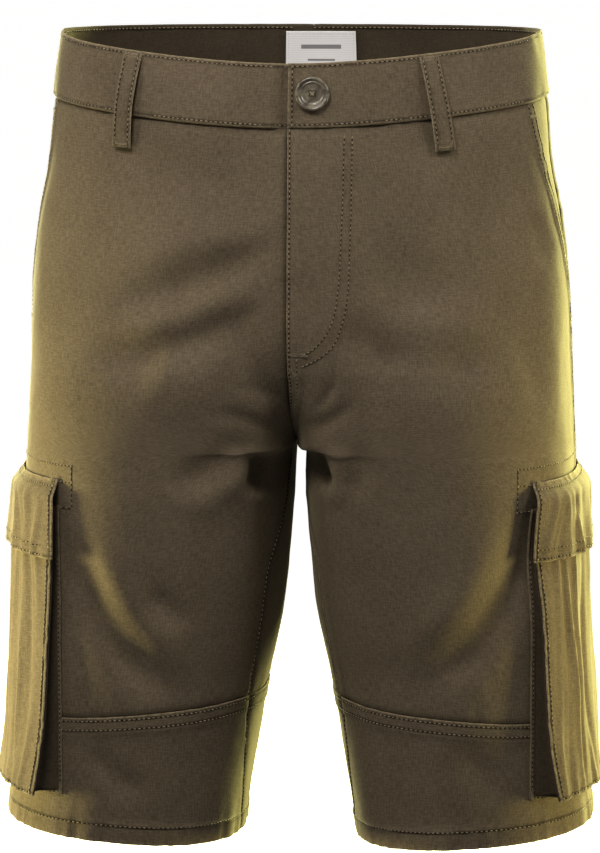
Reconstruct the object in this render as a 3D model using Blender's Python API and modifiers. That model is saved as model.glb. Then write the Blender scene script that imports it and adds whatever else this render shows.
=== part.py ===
# Cargo shorts, filled out as they are worn: sewn cloth walls around an empty waist and two legs.
# Metres, +Z up, the front faces -Y and the wearer's left is +X. The origin is the middle of the
# waist, level with the top of the waistband at the sides, where the wearer's waist holds them up.
import math
from collections import namedtuple

import bmesh
import bpy
from mathutils import Vector

# ---- driving dimensions -------------------------------------------------------------------
CLOTH = 0.0014            # one wall of canvas
BAND_CLOTH = 0.0026       # the waistband, folded double over its stiffening
SEAM_GAP = 0.0003         # between pieces that are sewn together
LAYER_GAP = 0.0008        # between a curved panel and a layer inside it
GUSSET_GAP = 0.0008       # between the round leg and the flat stretches of the gusset's edge
ROUNDNESS = 2.3           # exponent of the rings: 2 is an ellipse, more is squarer

DIP_POWER = 1.25          # how the dip of a ring fades from the middle front to the sides
FOLD_FADE = 0.05          # |y| within which the folds fade towards the side seams

BAND_BOTTOM = -0.041      # level of the waistband's lower edge
BAND_OUT = 0.0008         # how far the waistband stands off the body's surface
LAP_START = 84.0          # angle where the right half starts to dive under the left one
LAP_DIVE = 5.5
LAP_ANGLES = (87.0, 89.6, 95.0, 101.0, 107.0)
FORK_TOP = -0.115         # where the seat and front start to curve in to the crotch
CROTCH = -0.264
FORK_START = 5.0          # how late the crotch curve leaves the front, and how squarely it
FORK_END = 1.7            # runs in to the crotch, seen from the side
LEG_SEAM = -0.435         # seam between the leg and its lower panel
HEM = -0.5195
FLY_BOTTOM = -0.213
FLY_RAISE = 0.0008        # how far the fly's facing lifts the left front, from this angle on
FLY_EDGE = 65.0
FLY_SLOPE = 8.0
SHIELD_LEFT = 0.036       # |x| of the fly shield's two edges
SHIELD_RIGHT = 0.012

MOUTH_BOTTOM = -0.190     # level where a slanted pocket mouth reaches the side seam
MOUTH_ANGLE = {"left": 16.0, "right": 10.0}    # from the side seam, at the waistband
MOUTH_UNDER = 6.0         # degrees of the side pocket piece that lie under the front
MOUTH_EDGE = 0.3          # degrees before the mouth where that piece is already under it

POCKET_LINE = {"left": 0.153, "right": 0.147}  # x of the line where the gusset meets the leg
POCKET_TOP = -0.300
POCKET_BOTTOM = -0.490
FLAP_TOP = -0.283
FLAP_OVERHANG = 0.0021    # how far the flap reaches past the pocket's front and back
FLAP_RISE = 0.012         # height over which the flap rises from the leg over the pocket
FLAP_EASE = 0.0014        # and how far it then lies off the pocket
FLAP_GAP = 0.0009         # between the leg and the flat stretches of the flap's sewn edge
FLAP_DROPS = (0.0, 0.004, 0.012, 0.031, 0.050)
POCKET_HALF = 0.095       # half the pocket's width round the leg

LOOP_WIDTH = 0.0115
LOOP_CLOTH = 0.0018
LOOP_TOP = -0.0015
LOOP_BOTTOM = -0.0625
LOOP_BULGE = 0.0030       # gap under the middle of a loop
LOOP_BOW = 0.8            # below 1 the loop stands off more evenly along its length
LOOP_RADIUS = 0.125       # of the waist near the loops

BUTTON_X = 0.0155         # from the edge of the fly to the button's centre
BUTTON_LEVEL = -0.0195
BUTTON_HOLE = 0.0010      # radius of each thread hole
BUTTON_HOLE_STEP = 0.0019

LABEL_WIDTH = 0.046
LABEL_TOP = -0.0045
LABEL_BOTTOM = -0.0365
LABEL_CLOTH = 0.0010
LABEL_ANGLE = -87.5       # of its middle, a little to one side of the middle back
LABEL_RADIUS = 0.1075
LABEL_GAP = 0.00045

SIDES = {"left": 1, "right": -1}

# ---- sections down the body ---------------------------------------------------------------
# Each row is one level. outer and inner are the |x| of the leg's outer and inner side (above the
# crotch inner is worked out), front and back the reach of the ring, dip how much lower the ring
# hangs at the middle front, lean how much higher its outer side is than its middle, inseam how
# far round to the front the inseam lies, in degrees, and square the roundness of the ring's
# inner half, which is flattened where the two legs meet.
Section = namedtuple("Section", "level outer inner front back dip lean inseam square")
SECTIONS = [
    Section(0.000, 0.1540, 0.0, 0.1065, 0.1085, 0.0180, 0.0, 0, 2.3),
    Section(-0.041, 0.1592, 0.0, 0.1115, 0.1135, 0.0175, 0.0, 0, 2.3),
    Section(-0.080, 0.1632, 0.0, 0.1150, 0.1195, 0.0150, 0.0, 0, 2.3),
    Section(-0.115, 0.1690, 0.0, 0.1175, 0.1250, 0.0110, 0.0, 0, 2.3),
    Section(-0.150, 0.1740, 0.0, 0.1188, 0.1280, 0.0060, 0.0, 0, 2.3),
    Section(-0.190, 0.1755, 0.0, 0.1190, 0.1285, 0.0020, 0.0, 0, 2.5),
    Section(-0.229, 0.1768, 0.0, 0.1180, 0.1260, 0.0, 0.0, 0, 3.2),
    Section(-0.264, 0.1788, 0.0, 0.1160, 0.1220, 0.0, 0.0, 2, 3.8),
    Section(-0.268, 0.1790, 0.0046, 0.1157, 0.1213, 0.0, 0.0, 4, 3.65),
    Section(-0.280, 0.1796, 0.0054, 0.1147, 0.1195, 0.0, 0.0, 11, 3.3),
    Section(-0.300, 0.1805, 0.0056, 0.1130, 0.1160, 0.0, 0.0, 22, 2.9),
    Section(-0.340, 0.1818, 0.0077, 0.1090, 0.1100, 0.0, -0.0010, 36, 2.6),
    Section(-0.380, 0.1832, 0.0115, 0.1050, 0.1040, 0.0, -0.0030, 37, 2.4),
    Section(-0.435, 0.1865, 0.0216, 0.1000, 0.0970, 0.0, -0.0065, 34, 2.3),
    Section(-0.480, 0.1900, 0.0306, 0.0970, 0.0930, 0.0, 0.0010, 25, 2.3),
    Section(-0.5195, 0.1932, 0.0378, 0.0945, 0.0900, 0.0, 0.0065, 14, 2.3),
]

# The largest folds, as soft troughs (depth below 0) and ridges in the cloth. Each runs between
# two points of the front view and fades at its ends; face is -1 for the front, 1 for the back.
Fold = namedtuple("Fold", "face x0 z0 x1 z1 width depth")
FOLDS = [
    Fold(-1, -0.122, -0.200, -0.030, -0.176, 0.014, -0.0032),
    Fold(-1, -0.103, -0.166, -0.015, -0.134, 0.012, -0.0022),
    Fold(-1, -0.104, -0.186, -0.022, -0.160, 0.010, 0.0016),
    Fold(-1, -0.130, -0.335, -0.080, -0.415, 0.013, -0.0035),
    Fold(-1, -0.068, -0.282, -0.029, -0.257, 0.012, -0.0022),
    Fold(-1, 0.146, -0.325, 0.092, -0.408, 0.015, -0.0040),
    Fold(-1, 0.118, -0.205, 0.050, -0.190, 0.016, -0.0022),
    Fold(1, -0.125, -0.185, -0.030, -0.205, 0.015, -0.0028),
    Fold(1, 0.118, -0.192, 0.026, -0.214, 0.016, -0.0030),
    Fold(1, -0.060, -0.268, -0.128, -0.310, 0.015, -0.0035),
    Fold(1, 0.052, -0.272, 0.124, -0.322, 0.014, -0.0032),
    Fold(1, 0.085, -0.390, 0.140, -0.425, 0.013, -0.0025),
]

# The cargo pocket: how far its body stands off the leg at the side and at its front and back
# edges, and how far its edges lie behind the gusset's line.
Pocket = namedtuple("Pocket", "level side edge shift")
POCKET = [
    Pocket(-0.300, 0.0058, 0.0062, 0.0005),
    Pocket(-0.335, 0.0064, 0.0078, 0.0010),
    Pocket(-0.375, 0.0068, 0.0105, 0.0015),
    Pocket(-0.415, 0.0078, 0.0130, 0.0025),
    Pocket(-0.450, 0.0078, 0.0155, 0.0040),
    Pocket(-0.490, 0.0072, 0.0185, 0.0085),
]

# Belt loops: angle round the waist from the side seam, front above 0, and how far the loop
# slants, in degrees from its top to its bottom.
Loop = namedtuple("Loop", "name side angle slant")
LOOPS = [
    Loop("belt_loop_front_left", 1, 46.0, -2.5),
    Loop("belt_loop_front_right", -1, 41.5, -1.0),
    Loop("belt_loop_back_left", 1, -39.0, 0.0),
    Loop("belt_loop_back_right", -1, -39.0, 0.0),
    Loop("belt_loop_centre", 1, -90.0, 0.0),
]

# The button's half section, from the middle of its top, out and round to its underside.
BUTTON_PROFILE = [
    (0.0000, 0.0024), (0.0048, 0.0024), (0.0062, 0.0031), (0.0072, 0.0030), (0.0080, 0.0033),
    (0.0092, 0.0040), (0.0103, 0.0036), (0.0110, 0.0024), (0.0107, 0.0010), (0.0092, 0.0),
    (0.0000, 0.0),
]

COLOURS = {
    "canvas": (0.106, 0.082, 0.052, 1.0),
    "horn": (0.090, 0.078, 0.064, 1.0),
    "satin": (0.78, 0.78, 0.80, 1.0),
}
FINISHES = {"canvas": (0.88, 0.0), "horn": (0.28, 0.0), "satin": (0.45, 0.0)}

STEP = 0.25               # degrees, for the surface's slopes
LEVEL_STEP = 0.0005
WELD = 0.00005            # turned points this near the axis are one


# ---- the garment's surface ----------------------------------------------------------------
def between(table, column, level):
    """A column of a table at any level, on a smooth curve through its rows."""
    levels = [row.level for row in table]
    values = [getattr(row, column) for row in table]
    i = min(max(sum(row > level for row in levels) - 1, 0), len(levels) - 2)

    def slope(j):
        low, high = max(j - 1, 0), min(j + 1, len(levels) - 1)
        return (values[high] - values[low]) / (levels[high] - levels[low])

    span = levels[i + 1] - levels[i]
    t = (level - levels[i]) / span
    start = values[i] * (1 + 2 * t) * (1 - t) ** 2 + slope(i) * span * t * (1 - t) ** 2
    end = values[i + 1] * t * t * (3 - 2 * t) + slope(i + 1) * span * t * t * (t - 1)
    return start + end


def smoothstep(value):
    t = min(max(value, 0.0), 1.0)
    return t * t * (3 - 2 * t)


def ring(level):
    """Centre and half width, in x, of one side's ring at a level."""
    outer = between(SECTIONS, "outer", level)
    if level >= FORK_TOP:
        return 0.0, outer
    inner = max(between(SECTIONS, "inner", level), SEAM_GAP / 2)
    if level > CROTCH:
        drop = (FORK_TOP - level) / (FORK_TOP - CROTCH)
        reach = (1 - drop ** FORK_START) ** (1 / FORK_END)
        square = between(SECTIONS, "square", level)
        shift = (1 - reach ** square) ** (1 / square)
        half = (outer - inner) / (1 + shift)
        return outer - half, half
    return (outer + inner) / 2, (outer - inner) / 2


def depth(level, face):
    return between(SECTIONS, "front" if face < 0 else "back", level)


def roundness(level, across):
    """Exponent of the outer half of a ring, or of its inner half (across below 0)."""
    return ROUNDNESS if across >= 0 else between(SECTIONS, "square", level)


def plain_point(side, level, angle):
    """A point of the smooth garment. The angle goes from the side seam to the front."""
    centre, half = ring(level)
    across = math.cos(math.radians(angle))
    ahead = math.sin(math.radians(angle))
    deep = depth(level, -1 if ahead > 0 else 1)
    power = roundness(level, across)
    reach = ((abs(across) / half) ** power + (abs(ahead) / deep) ** power) ** (-1 / power)
    x = reach * across
    z = level - between(SECTIONS, "dip", level) * max(ahead, 0.0) ** DIP_POWER
    z += between(SECTIONS, "lean", level) * x / half
    return Vector((side * (centre + x), -reach * ahead, z))


def relief(point):
    """How far the folds move the cloth at a point: out above 0, in below."""
    face = -1 if point.y < 0 else 1
    total = 0.0
    for fold in FOLDS:
        if fold.face != face:
            continue
        run = Vector((fold.x1 - fold.x0, fold.z1 - fold.z0))
        offset = Vector((point.x - fold.x0, point.z - fold.z0))
        along = offset.dot(run) / run.length_squared
        across = offset - run * along
        ends = smoothstep((along + 0.25) / 0.5) * smoothstep((1.25 - along) / 0.5)
        total += fold.depth * ends * math.exp(-across.length_squared / fold.width ** 2)
    return total * smoothstep(abs(point.y) / FOLD_FADE)


def skin(side, level, angle, out=0.0):
    """A point of the folded cloth, moved out along its normal."""
    point = plain_point(side, level, angle)
    around = plain_point(side, level, angle + STEP) - plain_point(side, level, angle - STEP)
    down = plain_point(side, level - LEVEL_STEP, angle) - plain_point(side, level + LEVEL_STEP, angle)
    normal = (around.cross(down) * side).normalized()
    return point + normal * (relief(point) + out)


def angle_at(level, x, face=-1):
    """The angle, front or back, at which the ring of a level passes |x|."""
    centre, half = ring(level)
    power = roundness(level, x - centre)
    share = min(abs((x - centre) / half), 1.0)
    y = depth(level, face) * (1 - share ** power) ** (1 / power)
    return -face * math.degrees(math.atan2(y, x - centre))


def gap_angle(level):
    """Half a seam gap as an angle round the ring, for the seams at the sides of a leg."""
    return math.degrees(SEAM_GAP / 2 / ring(level)[1])


def inner_edge(level, face):
    """The angle at which a front or back ends: at the middle seam, or lower down at the inseam."""
    if level > CROTCH:
        return angle_at(level, SEAM_GAP / 2, face)
    turn = between(SECTIONS, "inseam", level)
    if face < 0:
        return 180 - turn - gap_angle(level)
    return -180 - turn + gap_angle(level)


def spread(start, end, count):
    """Evenly spaced values from start to end."""
    return [start + (end - start) * i / count for i in range(count + 1)]


# ---- building walls -----------------------------------------------------------------------
def material(name):
    """The Principled material of one finish, made once."""
    if name in bpy.data.materials:
        return bpy.data.materials[name]
    made = bpy.data.materials.new(name)
    made.use_nodes = True
    shader = made.node_tree.nodes["Principled BSDF"]
    shader.inputs["Base Color"].default_value = COLOURS[name]
    shader.inputs["Roughness"].default_value = FINISHES[name][0]
    shader.inputs["Metallic"].default_value = FINISHES[name][1]
    made.diffuse_color = COLOURS[name]
    return made


def add_object(name, mesh, finish):
    made = bpy.data.objects.new(name, mesh)
    mesh.materials.append(material(finish))
    bpy.data.collections["cargo_shorts"].objects.link(made)
    return made


def wall(name, finish, face, lining):
    """A closed wall of cloth between two like grids of points, its face and its inner side."""
    bm = bmesh.new()
    rows, columns = len(face), len(face[0])
    grids = [[[bm.verts.new(point) for point in row] for row in grid] for grid in (face, lining)]
    for grid in grids:
        for i in range(rows - 1):
            for j in range(columns - 1):
                bm.faces.new((grid[i][j], grid[i][j + 1], grid[i + 1][j + 1], grid[i + 1][j]))
    rim = [(0, j) for j in range(columns)]
    rim += [(i, columns - 1) for i in range(1, rows)]
    rim += [(rows - 1, j) for j in range(columns - 2, -1, -1)]
    rim += [(i, 0) for i in range(rows - 2, 0, -1)]
    for (i, j), (k, m) in zip(rim, rim[1:] + rim[:1]):
        bm.faces.new((grids[0][i][j], grids[0][k][m], grids[1][k][m], grids[1][i][j]))
    bmesh.ops.recalc_face_normals(bm, faces=bm.faces)
    if bm.calc_volume(signed=True) < 0:
        bmesh.ops.reverse_faces(bm, faces=bm.faces)
    mesh = bpy.data.meshes.new(name)
    bm.to_mesh(mesh)
    bm.free()
    return add_object(name, mesh, finish)


def panel(name, side, levels, angles, out=lambda level, angle: 0.0, thickness=CLOTH, finish="canvas"):
    """A wall on the garment's surface. angles(level) gives the columns of each row."""
    def grid(inset):
        return [[skin(side, level, angle, out(level, angle) - inset) for angle in angles(level)]
                for level in levels]
    return wall(name, finish, grid(0.0), grid(thickness))


# ---- the pieces ---------------------------------------------------------------------------
BODY_LEVELS = (spread(BAND_BOTTOM - SEAM_GAP, MOUTH_BOTTOM, 6) + spread(-0.208, -0.240, 2)
               + [-0.250, -0.258, CROTCH, -0.268] + spread(-0.282, LEG_SEAM + SEAM_GAP / 2, 5))
LOWER_LEVELS = spread(LEG_SEAM - SEAM_GAP / 2, HEM, 3)
PANEL_COLUMNS = 13


def mouth_angle(side_name, level):
    """Where the slanted pocket mouth lies at a level, from the side seam."""
    share = (level - MOUTH_BOTTOM) / (BAND_BOTTOM - MOUTH_BOTTOM)
    return MOUTH_ANGLE[side_name] * max(share, 0.0)


def build_front(side_name, side):
    """The front, from its pocket mouth and side seam to the fly, crotch seam and inseam."""
    def angles(level):
        start = mouth_angle(side_name, level) + gap_angle(level)
        return spread(start, inner_edge(level, -1), PANEL_COLUMNS)

    def out(level, angle):
        if side < 0 or level < FLY_BOTTOM:
            return 0.0
        return FLY_RAISE * smoothstep((angle - FLY_EDGE) / FLY_SLOPE)

    panel("front_" + side_name, side, BODY_LEVELS, angles, out)


def build_back(side_name, side):
    def angles(level):
        return spread(-gap_angle(level), inner_edge(level, 1), PANEL_COLUMNS + 1)
    panel("back_" + side_name, side, BODY_LEVELS, angles)


def build_lower(side_name, side):
    """The panels below the leg seam, front and back."""
    def front_angles(level):
        return spread(gap_angle(level), inner_edge(level, -1), PANEL_COLUMNS - 1)

    def back_angles(level):
        return spread(-gap_angle(level), inner_edge(level, 1), PANEL_COLUMNS)

    panel("lower_front_" + side_name, side, LOWER_LEVELS, front_angles)
    panel("lower_back_" + side_name, side, LOWER_LEVELS, back_angles)


def build_bearer(side_name, side):
    """The side pocket piece, which dives under the front at the slanted mouth."""
    levels = [level for level in BODY_LEVELS if level >= MOUTH_BOTTOM]

    def angles(level):
        mouth = mouth_angle(side_name, level)
        start = gap_angle(level)
        return spread(start, max(mouth - MOUTH_EDGE, start + MOUTH_EDGE), 3) + [mouth + MOUTH_UNDER]

    def out(level, angle):
        mouth = mouth_angle(side_name, level) - MOUTH_EDGE
        return -(CLOTH + LAYER_GAP) * (smoothstep(angle / mouth) if mouth > MOUTH_EDGE else 1.0)

    panel("pocket_bearer_" + side_name, side, levels, angles, out)


def build_waistband():
    """Two halves. The right one runs on under the left one at the front."""
    levels = spread(0.0, BAND_BOTTOM, 2)
    around = [-90 + gap_angle(0.0)] + spread(-LAP_START, LAP_START, 24)

    def left_angles(level):
        return around + [angle_at(level, SEAM_GAP / 2)]

    def right_angles(level):
        return around + list(LAP_ANGLES)

    def right_out(level, angle):
        return BAND_OUT - (BAND_CLOTH + LAYER_GAP) * smoothstep((angle - LAP_START) / LAP_DIVE)

    panel("waistband_left", 1, levels, left_angles, lambda level, angle: BAND_OUT, BAND_CLOTH)
    panel("waistband_right", -1, levels, right_angles, right_out, BAND_CLOTH)


def build_fly_shield():
    """The strip behind the fly, from just past it on the right to under the left front."""
    levels = [level for level in BODY_LEVELS if level > FLY_BOTTOM]

    def angles(level):
        return spread(angle_at(level, SHIELD_LEFT), 180 - angle_at(level, SHIELD_RIGHT), 4)

    panel("fly_shield", 1, levels, angles, lambda level, angle: -CLOTH - LAYER_GAP)


def pocket_angle(side_name, level, share, shift):
    """Angle at a share, -1 to 1, of the pocket's width from its back edge to its front edge."""
    face = -1 if share > 0 else 1
    return abs(share) * angle_at(level, POCKET_LINE[side_name] + shift, face)


def pocket_out(level, share):
    """How far the face of the pocket's body stands off the leg."""
    middle = between(POCKET, "side", level)
    edge = between(POCKET, "edge", level)
    return middle + (edge - middle) * abs(share) ** 3


def build_cargo(side_name, side):
    """The pocket's body, the gusset round three sides of it, and the flap."""
    levels = spread(POCKET_TOP, POCKET_BOTTOM, 7)
    shares = spread(-1.0, 1.0, 14)

    def body_point(level, share, out):
        shift = between(POCKET, "shift", level)
        angle = pocket_angle(side_name, level, share, shift)
        return skin(side, level, angle, pocket_out(level, share) + out)

    def leg_point(level, share, out):
        return skin(side, level, pocket_angle(side_name, level, share, 0.0), out)

    def body_grid(out):
        return [[body_point(level, share, out) for share in shares] for level in levels]

    wall("cargo_body_" + side_name, "canvas", body_grid(0.0), body_grid(-CLOTH))

    inset = CLOTH / POCKET_HALF
    route = [(level, 1.0, level, 1.0 - inset) for level in levels[:-1]]
    route += [(POCKET_BOTTOM, share, POCKET_BOTTOM + CLOTH, share * (1.0 - inset))
              for share in reversed(shares)]
    route += [(level, -1.0, level, inset - 1.0) for level in reversed(levels[:-1])]

    def gusset_grid(inner):
        grid = []
        for level, share, inner_level, inner_share in route:
            place = (inner_level, inner_share) if inner else (level, share)
            grid.append([leg_point(*place, GUSSET_GAP), body_point(*place, -CLOTH - LAYER_GAP)])
        return grid

    wall("cargo_gusset_" + side_name, "canvas", gusset_grid(False), gusset_grid(True))

    flap_levels = [FLAP_TOP - drop for drop in FLAP_DROPS]

    def flap_out(level, share):
        rise = smoothstep((FLAP_TOP - level) / FLAP_RISE)
        body = pocket_out(min(level, POCKET_TOP), share)
        return CLOTH + FLAP_GAP + (body + FLAP_EASE) * rise

    def flap_grid(out):
        grid = []
        for level in flap_levels:
            shift = -FLAP_OVERHANG * smoothstep((FLAP_TOP - level) / FLAP_RISE)
            grid.append([skin(side, level, pocket_angle(side_name, level, share, shift),
                              flap_out(level, share) + out) for share in shares])
        return grid

    wall("cargo_flap_" + side_name, "canvas", flap_grid(0.0), flap_grid(-CLOTH))


def build_loop(loop):
    """A belt loop: a strip held at both ends, bowed off the waistband between them."""
    half = math.degrees(LOOP_WIDTH / 2 / LOOP_RADIUS)
    levels = spread(LOOP_TOP, LOOP_BOTTOM, 8)

    def grid(inset):
        rows = []
        for level in levels:
            share = (level - LOOP_TOP) / (LOOP_BOTTOM - LOOP_TOP)
            out = BAND_OUT + SEAM_GAP + LOOP_CLOTH - inset
            out += LOOP_BULGE * math.sin(math.pi * share) ** LOOP_BOW
            middle = loop.angle + loop.slant * (share - 0.5)
            rows.append([skin(loop.side, level, middle + turn, out) for turn in (-half, 0, half)])
        return rows
    wall(loop.name, "canvas", grid(0.0), grid(LOOP_CLOTH))


def build_button():
    """A turned button with a raised rim, an inner ring and four thread holes."""
    profile = bpy.data.meshes.new("button")
    points = [(radius, 0.0, height) for radius, height in BUTTON_PROFILE]
    profile.from_pydata(points, [(i, i + 1) for i in range(len(points) - 1)], [])
    button = add_object("button", profile, "horn")
    turned = button.modifiers.new("Turned", "SCREW")
    turned.steps = 28
    turned.render_steps = 28
    turned.use_merge_vertices = True
    turned.merge_threshold = WELD

    centre = skin(1, BUTTON_LEVEL, angle_at(BUTTON_LEVEL, BUTTON_X), BAND_OUT + SEAM_GAP * 2)
    above = skin(1, BUTTON_LEVEL, angle_at(BUTTON_LEVEL, BUTTON_X), 0.0108)
    button.rotation_euler = (above - centre).to_track_quat("Z", "Y").to_euler()
    button.location = centre

    for number in range(4):
        turn = math.radians(45 + 90 * number)
        bpy.ops.mesh.primitive_cylinder_add(
            vertices=12, radius=BUTTON_HOLE, depth=0.012,
            location=(BUTTON_HOLE_STEP * math.cos(turn), BUTTON_HOLE_STEP * math.sin(turn), 0.0))
        cutter = bpy.context.object
        cutter.name = "thread_hole_%d" % (number + 1)
        cutter.parent = button
        cutter.hide_render = True
        cutter.display_type = "WIRE"
        for collection in list(cutter.users_collection):
            collection.objects.unlink(cutter)
        bpy.data.collections["cutters"].objects.link(cutter)
        hole = button.modifiers.new("Hole", "BOOLEAN")
        hole.operation = "DIFFERENCE"
        hole.object = cutter


def build_label():
    """The size label, sewn inside the back of the waistband a little to one side."""
    levels = spread(LABEL_TOP, LABEL_BOTTOM, 2)
    half = math.degrees(LABEL_WIDTH / 2 / LABEL_RADIUS)
    angles = spread(LABEL_ANGLE - half, LABEL_ANGLE + half, 4)
    panel("size_label", 1, levels, lambda level: angles,
          lambda level, angle: BAND_OUT - BAND_CLOTH - LABEL_GAP, LABEL_CLOTH, "satin")


def main():
    for old in list(bpy.data.objects):
        bpy.data.objects.remove(old, do_unlink=True)
    for name in ("cargo_shorts", "cutters"):
        bpy.context.scene.collection.children.link(bpy.data.collections.new(name))
    for side_name, side in SIDES.items():
        build_front(side_name, side)
        build_back(side_name, side)
        build_lower(side_name, side)
        build_bearer(side_name, side)
        build_cargo(side_name, side)
    build_waistband()
    build_fly_shield()
    for loop in LOOPS:
        build_loop(loop)
    build_button()
    build_label()


main()
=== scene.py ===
# Cargo shorts in brown-olive canvas, filled out as they are worn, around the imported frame.
import math

import bmesh
import bpy
import numpy as np
from mathutils import Matrix, Vector, noise


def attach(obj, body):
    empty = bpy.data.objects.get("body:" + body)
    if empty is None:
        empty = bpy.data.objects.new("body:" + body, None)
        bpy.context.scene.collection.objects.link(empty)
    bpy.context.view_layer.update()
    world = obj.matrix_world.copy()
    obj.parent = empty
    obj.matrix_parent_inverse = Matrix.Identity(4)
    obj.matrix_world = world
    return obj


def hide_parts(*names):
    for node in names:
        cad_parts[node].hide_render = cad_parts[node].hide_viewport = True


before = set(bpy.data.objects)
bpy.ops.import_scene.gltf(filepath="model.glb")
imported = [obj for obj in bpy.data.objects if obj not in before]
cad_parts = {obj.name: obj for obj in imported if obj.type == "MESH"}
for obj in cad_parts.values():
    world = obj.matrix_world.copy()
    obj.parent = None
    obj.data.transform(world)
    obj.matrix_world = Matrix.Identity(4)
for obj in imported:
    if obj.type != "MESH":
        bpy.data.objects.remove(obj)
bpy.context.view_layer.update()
print("frame loaded:", len(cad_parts), "nodes")

sides = {"left": 1, "right": -1}  # the wearer's left is +X
seamGap = 0.0003


# One row for each level down the body. outer and inner are the |x| of a leg's two sides, front and
# back the reach of the ring, dip how much lower it hangs at the middle front, lean how much
# higher its outer side is, inseam how far round to the front the inseam lies in degrees, and
# square the roundness of the inner half of the ring.
sectionNames = ("level", "outer", "inner", "front", "back", "dip", "lean", "inseam", "square")
sections = np.array([
    (0.000, 0.1540, 0.0, 0.1065, 0.1085, 0.0180, 0.0, 0, 2.3),
    (-0.041, 0.1592, 0.0, 0.1115, 0.1135, 0.0175, 0.0, 0, 2.3),
    (-0.080, 0.1632, 0.0, 0.1150, 0.1195, 0.0150, 0.0, 0, 2.3),
    (-0.115, 0.1690, 0.0, 0.1175, 0.1250, 0.0110, 0.0, 0, 2.3),
    (-0.150, 0.1740, 0.0, 0.1188, 0.1280, 0.0060, 0.0, 0, 2.3),
    (-0.190, 0.1755, 0.0, 0.1190, 0.1285, 0.0020, 0.0, 0, 2.5),
    (-0.229, 0.1768, 0.0, 0.1180, 0.1260, 0.0, 0.0, 0, 3.2),
    (-0.264, 0.1788, 0.0, 0.1160, 0.1220, 0.0, 0.0, 2, 3.8),
    (-0.268, 0.1790, 0.0046, 0.1157, 0.1213, 0.0, 0.0, 4, 3.65),
    (-0.280, 0.1796, 0.0054, 0.1147, 0.1195, 0.0, 0.0, 11, 3.3),
    (-0.300, 0.1805, 0.0056, 0.1130, 0.1160, 0.0, 0.0, 22, 2.9),
    (-0.340, 0.1818, 0.0077, 0.1090, 0.1100, 0.0, -0.0010, 36, 2.6),
    (-0.380, 0.1832, 0.0115, 0.1050, 0.1040, 0.0, -0.0030, 37, 2.4),
    (-0.435, 0.1865, 0.0216, 0.1000, 0.0970, 0.0, -0.0065, 34, 2.3),
    (-0.480, 0.1900, 0.0306, 0.0970, 0.0930, 0.0, 0.0010, 25, 2.3),
    (-0.5195, 0.1932, 0.0378, 0.0945, 0.0900, 0.0, 0.0065, 14, 2.3),
])
body = {
    "roundness": 2.3,
    "forkTop": -0.115,
    "crotch": -0.264,
    "forkStart": 5.0,
    "forkEnd": 1.7,
    "bandBottom": -0.041,
    "legSeam": -0.435,
    "hem": -0.5195,
    "flyBottom": -0.213,
    "mouthBottom": -0.190,
    "mouthAngle": {"left": 16.0, "right": 10.0},
    "dipPower": 1.25,         # how quickly a ring's dip fades towards its sides
    "creaseGain": 1.45,       # on every crease's depth
    "creaseFade": 0.045,      # creases die out this near to the side seams, in y
    "handled": ((0.0007, 0.034, 3.1), (0.00022, 0.011, 7.7)),  # height, size and seed
}

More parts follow.
